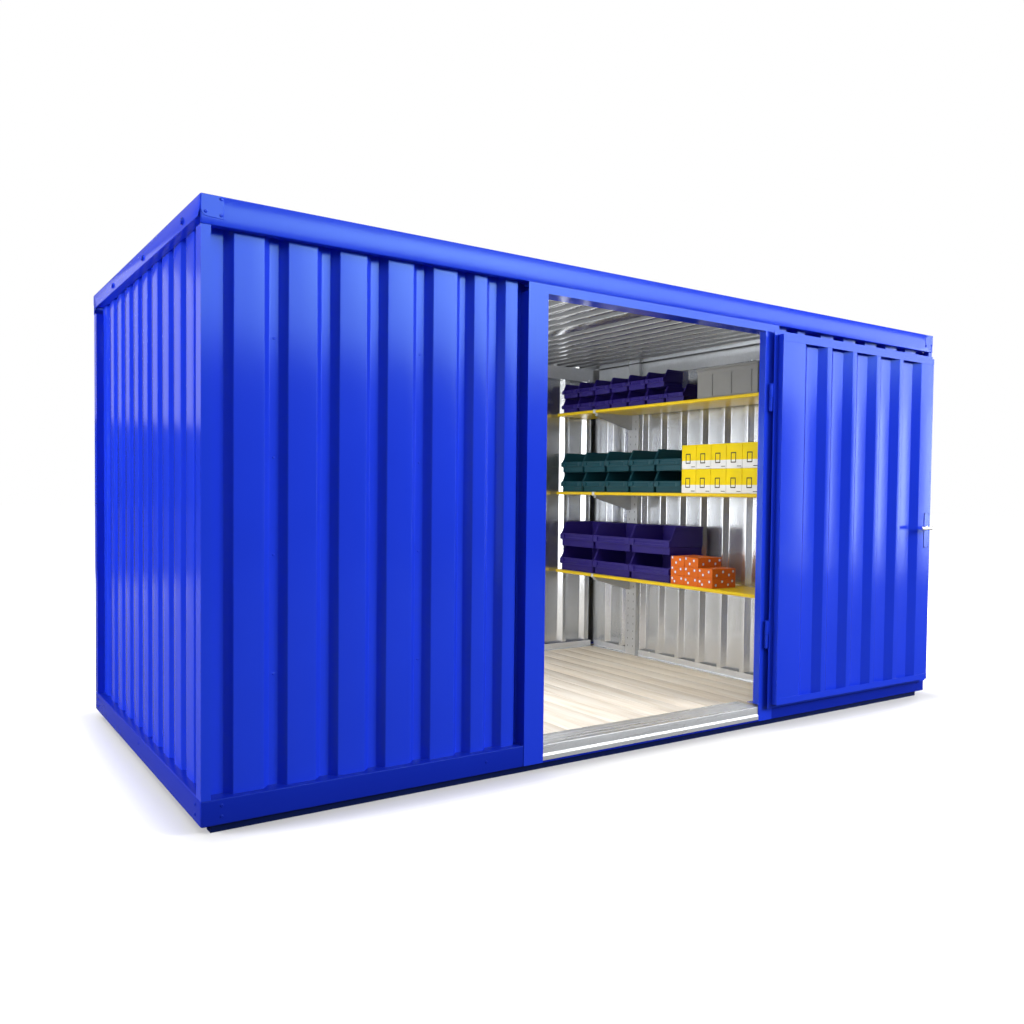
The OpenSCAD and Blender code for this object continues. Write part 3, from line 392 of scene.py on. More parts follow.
rail_low, rail_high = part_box("front_base_rail")[0].z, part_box("front_base_rail")[1].z
rail_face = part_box("front_base_rail")[0].y - front
rail_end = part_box("left_base_rail")[0].x - left
rail_flange, rail_sheet, rail_bend, corner_bend = 0.080, 0.003, 0.005, 0.006
door_left, door_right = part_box("threshold")[0].x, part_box("threshold")[1].x
low_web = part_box("threshold")[0].z + 0.006
rail_line = np.array([[rail_flange, rail_low], [0, rail_low], [0, rail_high], [rail_flange, rail_high]])
low_line = [[rail_flange, rail_low], [0, rail_low], [0, low_web]]
rail_outline = folded(rounded(rail_line, rail_bend), rail_sheet)
low_outline = folded(rounded(low_line, rail_bend), rail_sheet)
front_bars = [cornered(rail_outline, left + rail_face, door_left, corner_bend, (True, False)),
              cornered(low_outline, door_left, door_right, corner_bend, (False, False)),
              cornered(rail_outline, door_right, right_side - rail_face, corner_bend, (False, True))]
long_bar = cornered(rail_outline, left + rail_face, right_side - rail_face, corner_bend)
end_bar = cornered(rail_outline, front + rail_end, rear - rail_end, corner_bend)
for side, bars, face in (("front", front_bars, rail_face), ("rear", [long_bar], rail_face),
                         ("left", [end_bar], rail_end), ("right", [end_bar], rail_end)):
    piece(side + "_rail", [on_side(bar, side, face) for bar in bars], [rail_shade_blue],
          (side + "_base_rail",), thin=True)

# Places of the rivets: along from the left end or from the front, and height.
long_rivets = ((0.070, 0.098), (0.070, 0.061), (3.980, 0.0845), (3.980, 0.046), (1.085, 0.082))
end_rivets = ((0.080, 0.094), (0.080, 0.059), (1.048, 0.095), (2.090, 0.094), (2.090, 0.059))
rail_heads = [rivet((left + x, face_y, z), (1, way))
              for face_y, way in ((front + rail_face, -1), (rear - rail_face, 1)) for x, z in long_rivets]
rail_heads += [rivet((face_x, front + y, z), (0, way))
               for face_x, way in ((left + rail_end, -1), (right_side - rail_end, 1)) for y, z in end_rivets]
piece("rail_rivets", rail_heads, [rail_shade_blue])
coat(foot_shadow_blue, "foot_rails")
coat(blue, "floor_joists")

# ---------------------------------------------------------------------------------------------
# Floor
# Planed softwood boards, side by side with a fine joint, laid from front to rear on the joists.
# Their arrises are eased. Pale bare timber whose tone changes from board to board.
board_count, board_joint, board_ease, door_cut = 33, 0.0016, 0.0025, 0.0085
floor_low, floor_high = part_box("floor_boards")
board_pitch = (floor_high.x - floor_low.x) / board_count
grain_run, fibre_run = (26.0, 1.6, 26.0), (220.0, 6.0, 220.0)

timber, timber_shader = new_finish("planed_softwood", Specular_IOR_Level=0.25)
spot = object_point(timber)
across = add(timber, "ShaderNodeSeparateXYZ", {0: spot}).outputs["X"]
counted = number(timber, "DIVIDE", number(timber, "SUBTRACT", across, floor_low.x), board_pitch)
counted = number(timber, "FLOOR", counted)
board_own = add(timber, "ShaderNodeTexWhiteNoise", {"W": counted}, noise_dimensions="1D").outputs
slid = vector(timber, "ADD", spot, board_own["Color"])
grain = noise(timber, vector(timber, "MULTIPLY", slid, grain_run), 1.0, 6.0, Distortion=0.8)
fibres = noise(timber, vector(timber, "MULTIPLY", slid, fibre_run), 1.0, 2.0)
tones = add(timber, "ShaderNodeValToRGB", {"Fac": grain})
dark_grain, pale_grain = tones.color_ramp.elements
dark_grain.position, dark_grain.color = 0.30, (0.76, 0.67, 0.55, 1)
pale_grain.position, pale_grain.color = 0.66, (0.91, 0.86, 0.78, 1)
tones.color_ramp.elements.new(0.5).color = (0.87, 0.80, 0.70, 1)
board_tone, fibre_tone = spread(timber, board_own["Value"], 0.86, 1.06), spread(timber, fibres, 0.94, 1.05)
both_tones = number(timber, "MULTIPLY", board_tone, fibre_tone)
link(timber, scaled(timber, tones.outputs["Color"], both_tones), timber_shader.inputs["Base Color"])
link(timber, spread(timber, grain, 0.42, 0.62), timber_shader.inputs["Roughness"])
bumped(timber, timber_shader, fibres, 0.25, 0.0005)


def corner_middles(wide, tall, radius):
    """Middles of the four corner arcs of a rectangle with its low corner at zero."""
    return np.array([[radius, radius], [wide - radius, radius], [wide - radius, tall - radius],
                     [radius, tall - radius]])


def rounded_box(wide, tall, radius, steps=4):
    """Closed outline of a rectangle with its low corner at zero: a quarter circle at each corner."""
    angle = np.radians(np.linspace(0, 90, steps + 1) + np.array([[180], [270], [0], [90]]))
    arcs = radius * np.stack([np.cos(angle), np.sin(angle)], -1)
    return (corner_middles(wide, tall, radius)[:, None] + arcs).reshape(-1, 2)


def carried(outline, stations, axes):
    """The whole outline at every station of a straight path: its two numbers go on the first two
    axes and the station on the third."""
    stations = np.asarray(stations, float)
    rings = np.empty((len(stations), len(outline), 3))
    rings[..., axes[0]], rings[..., axes[1]] = outline[:, 0], outline[:, 1]
    rings[..., axes[2]] = stations[:, None]
    return rings


board = rounded_box(board_pitch - board_joint, floor_high.z - floor_low.z, board_ease, 2)
board_starts = floor_low.x + board_joint / 2 + board_pitch * np.arange(board_count)
board_fronts = np.where((board_starts > door_left - board_pitch) & (board_starts < door_right),
                        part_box("threshold")[0].y + door_cut, floor_low.y)
boards = [carried(board + [start, floor_low.z], np.linspace(near, floor_high.y, 9), (0, 2, 1))
          for start, near in zip(board_starts, board_fronts)]
piece("floor_planks", boards, [timber], ("floor_boards",))

# ---------------------------------------------------------------------------------------------
# Threshold
# One folded strip of 3 mm galvanised sheet over the edge of the floor: a ribbed tread, a face
# and a lip that kicks out at the foot. Screwed down through the tread.


def galvanised(name, tone, rough, streak, metallic):
    """Zinc coated sheet: crystals a centimetre across in the tone, and faint streaks along the
    sheet that the shine and the smooth bump both follow."""
    finish, shader = new_finish(name, Metallic=metallic)
    spot = object_point(finish)
    crystals = add(finish, "ShaderNodeTexVoronoi", {"Vector": spot, "Scale": 110.0, "Randomness": 1.0})
    one_tone = add(finish, "ShaderNodeRGBToBW", {0: crystals.outputs["Color"]}).outputs[0]
    streaks = noise(finish, vector(finish, "MULTIPLY", spot, streak), 9.0, 2.0)
    mixed = number(finish, "ADD", spread(finish, streaks, 0.93, 1.07), spread(finish, one_tone, -0.04, 0.04))
    bluish = (tone * 0.975, tone, tone * 1.03)
    link(finish, scaled(finish, bluish, mixed), shader.inputs["Base Color"])
    link(finish, spread(finish, streaks, *rough), shader.inputs["Roughness"])
    bumped(finish, shader, streaks, 0.02, 0.001)
    return finish


tread_zinc = galvanised("threshold_zinc", 0.64, (0.24, 0.32), (0.3, 2.0, 2.0), 0.6)
sill_low, sill_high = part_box("threshold")
sill_sheet, sill_set, lip_tall, lip_slope = 0.003, 0.005, 0.028, 0.010
rib_deep, rib_half, rib_slope = 0.001, 0.003, 0.001
sill_face, lip_top = sill_low.y + sill_set, sill_low.z + lip_tall
rib_middles = sill_face + (sill_high.y - sill_face) * np.arange(1, 4) / 4
rib_foot = rib_half + rib_slope
rib_edges = np.repeat(rib_middles, 4) + np.tile([-rib_foot, -rib_half, rib_half, rib_foot], 3)
rib_levels = sill_high.z - np.tile([0, rib_deep, rib_deep, 0], 3)
sill_line = np.vstack([
    [[sill_low.y, sill_low.z], [sill_low.y, lip_top - lip_slope], [sill_face, lip_top]],
    [[sill_face, sill_high.z]], np.column_stack([rib_edges, rib_levels]), [[sill_high.y, sill_high.z]]])
sill_bends = np.r_[0.002, 0.003, 0.003, np.full(12, 0.0003)]
sill_outline = folded(rounded(sill_line, sill_bends, 3), sill_sheet)
sill = carried(sill_outline, np.linspace(sill_low.x, sill_high.x, 9), (1, 2, 0))
piece("door_threshold", [sill], [tread_zinc], ("threshold",), thin=True)
screw_head = [(0.0045, -0.001), (0.0045, 0.0005), (0.0034, 0.0014), (0.0015, 0.0016), (0.0002, 0.0016)]
screw_row, screw_places = sill_face + 0.012, (-0.648, -0.340, 0.0, 0.300, 0.598)
sill_screws = [turned((x, screw_row, sill_high.z), (2, 1), screw_head, 12) for x in screw_places]
piece("sill_screws", sill_screws, [tread_zinc])

# ---------------------------------------------------------------------------------------------
# Corner posts, door jambs and header
# Folded 2 mm sheet, powder coated with the walls. The jambs stand on the base rail at each side
# of the doorway, and the header lies between them under the roof frame.
coat(blue, "post_front_left", "post_front_right", "post_rear_left", "post_rear_right",
     "door_jamb_left", "door_jamb_right", "door_header")

# ---------------------------------------------------------------------------------------------
# Walls
# Ribbed 1 mm sheet in upright panels, powder coated outside and bare zinc inside. Each bend has
# a radius of a few millimetres, and the flat parts are very slightly wavy, as rolled sheet is.
# Panels are riveted to each other in some of their valleys.
sheet_thickness, sheet_bend, rib_depth = 0.001, 0.006, 0.032
wall_zinc = galvanised("wall_zinc", 0.70, (0.16, 0.26), (2.0, 2.0, 0.25), 0.9)


def outer_line(node, along, across, outward, path):
    """Corners of a CAD sheet's outer side in section: those on its crest plane and on the outer
    side of its valley plane, in the order in which they stand."""
    mesh = nodes[node].data
    co = np.empty(len(mesh.vertices) * 3)
    mesh.vertices.foreach_get("co", co)
    co = co.reshape(-1, 3)
    co = co[co[:, path] > co[:, path].max() - 0.001]
    u, v = co[:, along], co[:, across] * outward
    on_line = (np.abs(v - v.max()) < 2e-4) | (np.abs(v - v.min() - sheet_thickness) < 2e-4)
    return np.unique(np.round(np.column_stack([u, v])[on_line], 4), axis=0)


def ribbed(node, along, across, outward, path, rows=15, wave=0.0004, bend=sheet_bend):
    """A ribbed sheet: its rounded section carried along the ribs. The section moves in and out by
    wave * sin(5.1 u + 2) * sin(2.7 w), with u across the ribs and w along them."""
    line = rounded(outer_line(node, along, across, outward, path), bend)
    outline = folded(line, sheet_thickness) * [1, outward]
    low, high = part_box(node)
    rings = carried(outline, np.linspace(low[path], high[path], rows), (along, across, path))
    rings[..., across] += wave * np.sin(5.1 * rings[..., along] + 2) * np.sin(2.7 * rings[..., path])
    return rings


def two_sided(rings):
    """Finish number of each column of a folded outline: 0 on its outer side, 1 on its inner side."""
    return (np.arange(rings.shape[1]) >= rings.shape[1] // 2).astype(int)


def valley_middles(node, outward):
    """Places along a long wall of the middles of its valleys, from the CAD sheet's own section."""
    line = outer_line(node, 0, 1, outward, 2)
    low = line[line[:, 1] < line[:, 1].min() + 0.002, 0]
    return (low[0:-1:2] + low[1::2]) / 2 if len(low) % 2 == 0 else low[:-1]


along_x, along_y = (0, 1), (1, 0)
for node, axes, outward in (
        ("front_wall_left", along_x, -1), ("front_wall_right", along_x, -1),
        ("front_wall_over_door", along_x, -1), ("rear_wall_left", along_x, 1),
        ("rear_wall_middle", along_x, 1), ("rear_wall_right", along_x, 1),
        ("left_end_wall", along_y, -1), ("right_end_wall", along_y, 1)):
    sheet = ribbed(node, *axes, outward, 2)
    sides = two_sided(sheet)
    piece(node + "_sheet", [sheet], [blue, wall_zinc], (node,), mark=sides, thin=True)

lap_heights, lap_radius, laps_every = (1.71, 1.29, 0.945, 0.52), 0.005, 3
lap_rivets = []
for node, outward in (("front_wall_left", -1), ("front_wall_right", -1), ("rear_wall_left", 1),
                      ("rear_wall_middle", 1), ("rear_wall_right", 1)):
    face_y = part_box(node)[0 if outward < 0 else 1].y - outward * rib_depth
    for x in valley_middles(node, outward)[1::laps_every]:
        lap_rivets += [rivet((x, face_y, z), (1, outward), lap_radius) for z in lap_heights]
piece("wall_rivets", lap_rivets, [blue])

# ---------------------------------------------------------------------------------------------
# Roof frame
# Folded 2 mm fascias all round, powder coated. The end fascias are lower, with their lower corners
# cut off. A riveted plate with a cut lower corner covers each end of the front and rear ones, and
# three bolts hold each end fascia.
fascia_sheet, fascia_flange, fascia_foot = 0.002, 0.080, 0.035
fascia_bends, fascia_corner, cut_off, cut_run = [0.003, 0.006], 0.006, 0.027, 0.022
fascia_low, end_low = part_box("front_fascia")[0].z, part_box("left_fascia")[0].z
bars = []
for low, start, stop in ((fascia_low, left, right_side), (end_low, front, rear)):
    line = [[fascia_foot, low], [0, low], [0, roof_top], [fascia_flange, roof_top]]
    bars.append(cornered(folded(rounded(line, fascia_bends), fascia_sheet), start, stop, fascia_corner))
long_bar, end_bar = bars
end_bar = np.concatenate([end_bar[:5], end_bar[4:5] + [cut_run, 0, 0], end_bar[5:7],
                          end_bar[7:8] - [cut_run, 0, 0], end_bar[7:]])
from_end = np.minimum(end_bar[..., 0] - front, rear - end_bar[..., 0])
near_low = end_bar[..., 2] < (end_low + roof_top) / 2
end_bar[..., 2] += near_low * np.clip(cut_off - from_end, 0, cut_off)
for side, bar in (("front", long_bar), ("rear", long_bar), ("left", end_bar), ("right", end_bar)):
    edge = on_side(bar, side, 0.0)
    piece(side + "_roof_edge", [edge], [blue], (side + "_fascia",), thin=True)


def hex_bolt(middle, facing, across=0.020, tall=0.0075):
    """A washer and a six-sided head with its corners turned off. A corner of the head lies at
    across / sqrt(3) from the middle."""
    corner = 0.577 * across
    washer = [(0.72 * across, -0.001), (0.72 * across, 0.0016), (0.68 * across, 0.0020),
              (0.3 * across, 0.0020)]
    head = [(corner, 0.0015), (corner, tall - 0.002), (0.97 * corner, tall - 0.001), (0.84 * corner, tall),
            (0.05 * corner, tall)]
    return [turned(middle, facing, washer), turned(middle, facing, head, 6)]


# The plate's corners and its rivets, as distance from the end and height; the rings of its rim,
# as distance out from the fascia and share of its size.
plate_shape = np.array([[0.074, 2.0735], [0.074, 2.1485], [0.003, 2.1485], [0.003, 2.090], [0.012, 2.078],
                        [0.030, 2.0755]])
plate_rivet_places = ((0.066, 2.139), (0.066, 2.085), (0.017, 2.091))
plate_rims = ((-0.0005, 1.0), (0.0009, 1.0), (0.0013, 0.992), (0.0015, 0.975), (0.0015, 0.95))
plate_centre = plate_shape.mean(0)
bolt_places, bolt_level = (0.245, 0.925, 1.605), 2.107
plates, plate_rivets, bolts = [], [], []
for side_x, way_x in ((left, -1), (right_side, 1)):
    for side_y, way_y in ((front, -1), (rear, 1)):
        flats = [plate_centre + share * (plate_shape - plate_centre) for out, share in plate_rims]
        plates.append(np.stack([np.column_stack([side_x - way_x * flat[:, 0],
                                                 np.full(len(flat), side_y + way_y * out), flat[:, 1]])
                                for flat, (out, share) in zip(flats, plate_rims)]))
        face_y = side_y + way_y * plate_rims[-1][0]
        plate_rivets += [rivet((side_x - way_x * x, face_y, z), (1, way_y), 0.006)
                         for x, z in plate_rivet_places]
    for y in bolt_places:
        bolts += hex_bolt((side_x, front + y, bolt_level), (0, way_x))
piece("corner_plates", plates, [blue], ("fascia_corner_plates",))
piece("corner_rivets", plate_rivets, [blue])
piece("end_bolts", bolts, [blue], ("fascia_bolts",))

# ---------------------------------------------------------------------------------------------
# Roof sheets and the rails under them
# Ribbed galvanised deck laid across the container, on folded galvanised rails along the walls.
# From below, its pans take a far darker zinc than the low flats that lie on the rails: painted shade.
roof_zinc = galvanised("roof_zinc", 0.66, (0.16, 0.26), (2.0, 0.25, 2.0), 0.9)
# Painted shade: the pans seen from below take a far darker zinc than the deck's other faces.
pan_shade_zinc = galvanised("roof_pan_painted_shade", 0.13, (0.3, 0.4), (2.0, 0.25, 2.0), 0.6)
rail_zinc = galvanised("rail_zinc", 0.80, (0.2, 0.3), (2.0, 2.0, 2.0), 0.6)
deck = ribbed("roof_sheets", 0, 2, 1, 1, rows=9, wave=0.0001, bend=0.003)
at_foot = deck[0, :, 2] < deck[0, :, 2].min() + 0.1 * np.ptp(deck[0, :, 2])
shaded_pans = two_sided(deck) * (1 - (at_foot & np.roll(at_foot, -1)))
piece("roof_deck", [deck], [roof_zinc, pan_shade_zinc], ("roof_sheets",), mark=shaded_pans, thin=True)
coat(rail_zinc, "inner_top_rails", "inner_end_rails", "floor_edge_rails")

# ---------------------------------------------------------------------------------------------
# Partition
# Ribbed galvanised sheet across the container behind the shelves, between the rails under the
# roof and the angle along the floor. Bare zinc on both sides.
partition_zinc = galvanised("partition_zinc", 0.74, (0.18, 0.28), (2.0, 2.0, 0.3), 0.8)
sheet = ribbed("partition_wall", 1, 0, -1, 2, wave=0.0001)
piece("partition_sheet", [sheet], [partition_zinc], ("partition_wall",), thin=True)

# ---------------------------------------------------------------------------------------------
# Shelves
# Slotted galvanised uprights with grey brackets hooked into them. The boards are folded sheet with
# a rolled front edge, painted yellow, and clips hold them to the brackets.
upright_zinc = galvanised("upright_zinc", 0.66, (0.26, 0.36), (2.0, 2.0, 0.3), 0.6)
bracket_grey = galvanised("bracket_zinc", 0.48, (0.3, 0.4), (1.0, 1.0, 1.0), 0.6)
shelf_yellow = painted("shelf_yellow", (0.76, 0.53, 0.012), (0.28, 0.4), 0.3, (1, 1, 1))
coat(upright_zinc, "shelf_uprights")
coat(bracket_grey, "shelf_brackets")
shelf_low, shelf_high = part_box("shelf_boards")
shelf_thick, shelf_roll = 0.020, 0.007
shelf_tops = [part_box(goods)[0].z for goods in ("low_shelf_goods", "middle_shelf_goods", "top_shelf_goods")]
shelf_outline = rounded_box(shelf_high.x - shelf_low.x, shelf_thick, shelf_roll, 5) + [shelf_low.x, 0]
shelf_rows = np.linspace(shelf_low.y, shelf_high.y, 7)
shelves = [carried(shelf_outline + [0, top - shelf_thick], shelf_rows, (0, 2, 1)) for top in shelf_tops]
piece("yellow_shelves", shelves, [shelf_yellow], ("shelf_boards",))


def pad_rings(low, high, ease=0.0015):
    """A small block with eased edges that faces the room: its outline across and up is carried
    from the back to the front, drawn in by ease at its front."""
    wide, tall = high[1] - low[1], high[2] - low[2]
    outline = rounded_box(wide, tall, 0.003, 2)
    middle = outline.mean(0)
    drawn_in = 1 - 2 * ease / min(wide, tall)
    return np.stack([np.column_stack([np.full(len(outline), x),
                                      [low[1], low[2]] + middle + (outline - middle) * share])
                     for x, share in ((high[0], 1.0), (low[0] + ease, 1.0), (low[0], drawn_in))])


# Punched slots of the uprights, drawn as near-black pads on the face, painted shade in the holes,
# and the clips that hold the boards' front edges to the brackets.
# slot_shade is near black with a faint noise: painted shade, used for the slots, the rim under the lock
# plates and the lock screws.
slot_shade, shade_shader = new_finish("slot_shade", Specular_IOR_Level=0.2)
shade_tone = add(slot_shade, "ShaderNodeTexNoise", {"Scale": 60.0, "Detail": 2.0}).outputs["Fac"]
link(slot_shade, spread(slot_shade, shade_tone, 0.006, 0.014), shade_shader.inputs["Base Color"])
link(slot_shade, spread(slot_shade, shade_tone, 0.5, 0.7), shade_shader.inputs["Roughness"])
upright_face, upright_middles, slot_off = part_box("shelf_uprights")[0].x, (-0.860, 0.598), 0.0275
slot_levels, clip_middles, clip_half = np.arange(0.16, 2.0, 0.05), (-0.8875, 0.6255), 0.011
slot_rows = [middle + way * slot_off for middle in upright_middles for way in (-1, 1)]
slot_front, slot_back = upright_face - 0.0002, upright_face + 0.001
slot_shade_pads = [pad_rings([slot_front, y - 0.002, z], [slot_back, y + 0.002, z + 0.012], 0.0001)
         for y in slot_rows for z in slot_levels]
piece("upright_slot_shade_pads", slot_shade_pads, [slot_shade])
clips = [pad_rings([shelf_low.x - 0.004, y - clip_half, top - 0.024],
                   [shelf_low.x + 0.012, y + clip_half, top + 0.002])
         for top in shelf_tops for y in clip_middles]
piece("shelf_clips", clips, [upright_zinc])

# ---------------------------------------------------------------------------------------------
# Stacking bins
# Moulded plastic bins in two layers, open at the top and cut down at the front, with a thick rim
# all round and a label holder on the front. Violet on the top and low shelves, teal between.
plastic_look = {"clouds": (9.0, 3.0), "tones": (0.88, 1.12), "grain": (900.0, 0.15, 0.0002)}
goods_front, goods_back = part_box("middle_shelf_goods")[0].x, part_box("middle_shelf_goods")[1].x
goods_deep = goods_back - goods_front
bin_gap = 0.003


def moulded(name, colour, rough=(0.40, 0.54), specular=0.3):
    """Moulded plastic: a faint cloud in the colour and a fine spark-eroded grain."""
    return mottled(name, colour, rough, specular, (1, 1, 1), **plastic_look)


def corner_normals(steps):
    """Outward directions along the four corner arcs of a rectangle, each in steps points."""
    turn = np.add.outer(np.radians([180, 270, 0, 90]), np.radians(np.linspace(0, 90, steps)))
    return np.stack([np.cos(turn), np.sin(turn)], -1)


def bin_outline(wide, lean, deep):
    """Rounded rectangle seen from above as (across, depth from the front), with the outward
    direction at each point. The sides have points close together where the rim slopes."""
    radius = 0.008
    normal = corner_normals(4)
    arcs = corner_middles(wide, deep, radius)[:, None] + radius * normal
    depths = radius + lean * np.array([0.1, 0.25, 0.45, 0.65, 0.85, 1.0, 1.2, 1.6])
    right_run = np.column_stack([np.full(8, wide), depths])
    left_run = np.column_stack([np.zeros(8), depths[::-1]])
    points = np.vstack([arcs[0], arcs[1], right_run, arcs[2], arcs[3], left_run])
    out = np.vstack([normal[0], normal[1], np.tile([1.0, 0], (8, 1)), normal[2], normal[3],
                     np.tile([-1.0, 0], (8, 1))])
    return points, out


def bin_rings(wide, tall, side_y, base_z, deep):
    """One bin. Each row of the table is a ring: how far inside the outline, and how far above the
    base or, where it hangs, below the rim. The rim rises from front_share of the height to all of
    it over lean, on the softened step 0.6 t + 0.4 t * t * (3 - 2 t)."""
    front_share, lean, foot, shoulder = 0.53, 0.24 * tall, 0.25 * tall, 0.29 * tall
    points, out = bin_outline(wide, lean, deep)
    t = np.clip((points[:, 1] - 0.006) / lean, 0, 1)
    rim = tall * (front_share + (1 - front_share) * (0.6 * t + 0.4 * t * t * (3 - 2 * t)))
    hangs_from_rim, stands_on_base = 1, 0
    table = np.array([
        (0.018, 0, stands_on_base), (0.011, 0, stands_on_base), (0.010, 0.002, stands_on_base),
        (0.010, foot, stands_on_base), (0.004, shoulder, stands_on_base),
        (0.004, 0.010, hangs_from_rim), (0, 0.009, hangs_from_rim), (0, 0.0015, hangs_from_rim),
        (0.001, 0, hangs_from_rim), (0.004, 0, hangs_from_rim), (0.006, 0.0015, hangs_from_rim),
        (0.006, 0.010, hangs_from_rim), (0.012, 0.008, stands_on_base), (0.020, 0.005, stands_on_base)])
    set_in, off, hangs = table.T[..., None]
    level = np.where(hangs == hangs_from_rim, rim - off, off)
    plan = points - set_in[..., None] * out
    return np.stack([goods_front + plan[..., 1], side_y + plan[..., 0], base_z + level], -1)


def bin_block(name, finish, node, wide, tall, counts, shelf_top, deep=goods_deep):
    """Two layers of bins in a row that starts at the rear and runs towards the front wall. Each has
    two pads at its front corners, which hold the label, and a lip between them."""
    stacks = []
    pad_wide, pad_low, pad_high, lip_high = min(0.046, 0.2 * wide), 0.27 * tall, 0.50 * tall, 0.36 * tall
    for layer in (0, 1):
        for k in range(counts[layer]):
            side_y, base_z = row_start - (k + 1) * (wide + bin_gap), shelf_top + layer * tall
            far_y = side_y + wide - pad_wide
            stacks.append(bin_rings(wide, tall, side_y, base_z, deep))
            for y in (side_y + 0.001, far_y - 0.001):
                stacks.append(pad_rings([goods_front - 0.005, y, base_z + pad_low],
                                        [goods_front + 0.005, y + pad_wide, base_z + pad_high]))
            stacks.append(pad_rings([goods_front - 0.002, side_y + pad_wide, base_z + pad_low],
                                    [goods_front + 0.005, far_y, base_z + lip_high]))
    piece(name, stacks, [finish], (node,))


violet = moulded("violet_plastic", (0.018, 0.009, 0.15))
teal = moulded("teal_plastic", (0.004, 0.052, 0.070))
row_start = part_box("middle_shelf_goods")[1].y + 0.003
low_top, middle_top, high_top = shelf_tops
teal_wide, large_wide, small_deep = 0.250, 0.388, 0.160
bin_block("small_violet_bins", violet, "top_shelf_goods",
          0.179, 0.100, (7, 6), high_top, small_deep)
bin_block("teal_bins", teal, "middle_shelf_goods",
          teal_wide, 0.132, (5, 5), middle_top)
bin_block("large_violet_bins", violet, "low_shelf_goods",
          large_wide, 0.165, (3, 3), low_top)

# ---------------------------------------------------------------------------------------------
# Crate, cartons and packets
# A grey grooved plastic crate on the top shelf, yellow and white folded cartons beside the teal
# bins, and small orange packets with pale round spots beside the large bins. Nothing holds them.


def crate_rings(wide, tall, side_y, base_z):
    """An open crate. Its walls have upright grooves, one every groove_pitch along a side, between
    the foot and a step below the rim, and the rim stands out by 7 mm. Each row of the table is a
    ring: how far inside the outline, whether it is grooved, and its height."""
    groove_deep, groove_half, groove_pitch, first_groove = 0.006, 0.005, 0.155, 0.036
    steps, corner, step = 130, 0.014, tall - 0.030
    normal = corner_normals(5)
    arcs = corner_middles(wide, goods_deep, corner)[:, None] + corner * normal
    next_start = np.roll(arcs, -1, 0)[:, 0]
    share = np.linspace(0, 1, steps + 2)[1:-1, None]
    runs = arcs[:, -1, None] + (next_start[:, None] - arcs[:, -1, None]) * share
    points = np.concatenate([arcs, runs], 1).reshape(-1, 2)
    out = np.concatenate([normal, np.repeat(normal[:, -1:], steps, 1)], 1).reshape(-1, 2)
    length = np.linalg.norm(next_start - arcs[:, -1], axis=1)[:, None]
    half_pitch = groove_pitch / 2
    to_groove = np.abs((length * share[:, 0] - first_groove + half_pitch) % groove_pitch - half_pitch)
    grooved = np.concatenate([np.zeros((4, 5)), (to_groove < groove_half) * 1.0], 1).reshape(-1)
    set_in, cut, level = np.array([
        (0.016, 0, 0), (0.012, 0, 0), (0.009, 0, 0.012), (0.009, 1, 0.014), (0.009, 1, step - 0.008),
        (0.009, 0, step - 0.006), (0.007, 0, step), (0.007, 0, tall - 0.014), (0, 0, tall - 0.012),
        (0, 0, tall - 0.002), (0.002, 0, tall), (0.010, 0, tall), (0.012, 0, tall - 0.003), (0.014, 0, 0.010),
        (0.018, 0, 0.006)]).T[..., None]
    plan = points - (set_in + cut * groove_deep * grooved)[..., None] * out
    level = np.broadcast_to(level, plan.shape[:-1])
    return np.stack([goods_front + plan[..., 1], side_y + plan[..., 0], base_z + level], -1)


grey = moulded("grey_plastic", (0.25, 0.25, 0.24))
crate = crate_rings(0.500, 0.170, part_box("top_shelf_goods")[0].y, high_top)
piece("grey_crate", [crate], [grey])


def box_rings(wide, deep, side_y, base_z, levels):
    """A closed folded box: a rounded rectangle at the given heights, drawn in at the bottom and
    the top. Each level is (height, distance inwards)."""
    corner = 0.002
    plan = rounded_box(deep, wide, corner, 3)
    out = plan - [deep / 2, wide / 2]
    out = np.sign(out) * np.minimum(1, np.abs(out) / (np.array([deep, wide]) / 2 - corner)).round()
    rings = [np.column_stack([plan - inwards * out, np.full(len(plan), height)])
             for height, inwards in levels]
    return np.stack(rings) + [goods_front, side_y, base_z]


def card(name, colour):
    """Printed card: an even colour with a faint mottle and a soft shine."""
    return moulded(name, colour, (0.45, 0.6), 0.2)


carton_yellow = card("carton_yellow", (0.80, 0.60, 0.002))
carton_white = card("carton_white", (0.76, 0.76, 0.74))
carton_orange = card("carton_orange", (0.62, 0.125, 0.008))
carton_ink = card("carton_ink", (0.07, 0.06, 0.03))
carton_wide, carton_tall, carton_gap, white_share = 0.1225, 0.1375, 0.0025, 0.34
band = white_share * carton_tall
carton_levels = [(0, 0.002), (0.002, 0), (band - 0.0002, 0), (band + 0.0002, 0), (carton_tall - 0.002, 0),
                 (carton_tall, 0.002)]
white_below = np.array([1, 1, 1, 0, 0])[:, None]
carton_start = row_start - 5 * (teal_wide + bin_gap) - 0.003
carton_pitch, carton_rise = carton_wide + carton_gap, carton_tall + 0.0005
carton_corners = [(carton_start - (k + 1) * carton_pitch, middle_top + layer * carton_rise)
                  for layer in (0, 1) for k in range(5)]
cartons = [box_rings(carton_wide, goods_deep, y, z, carton_levels) for y, z in carton_corners]
piece("yellow_cartons", cartons, [carton_yellow, carton_white], mark=white_below)

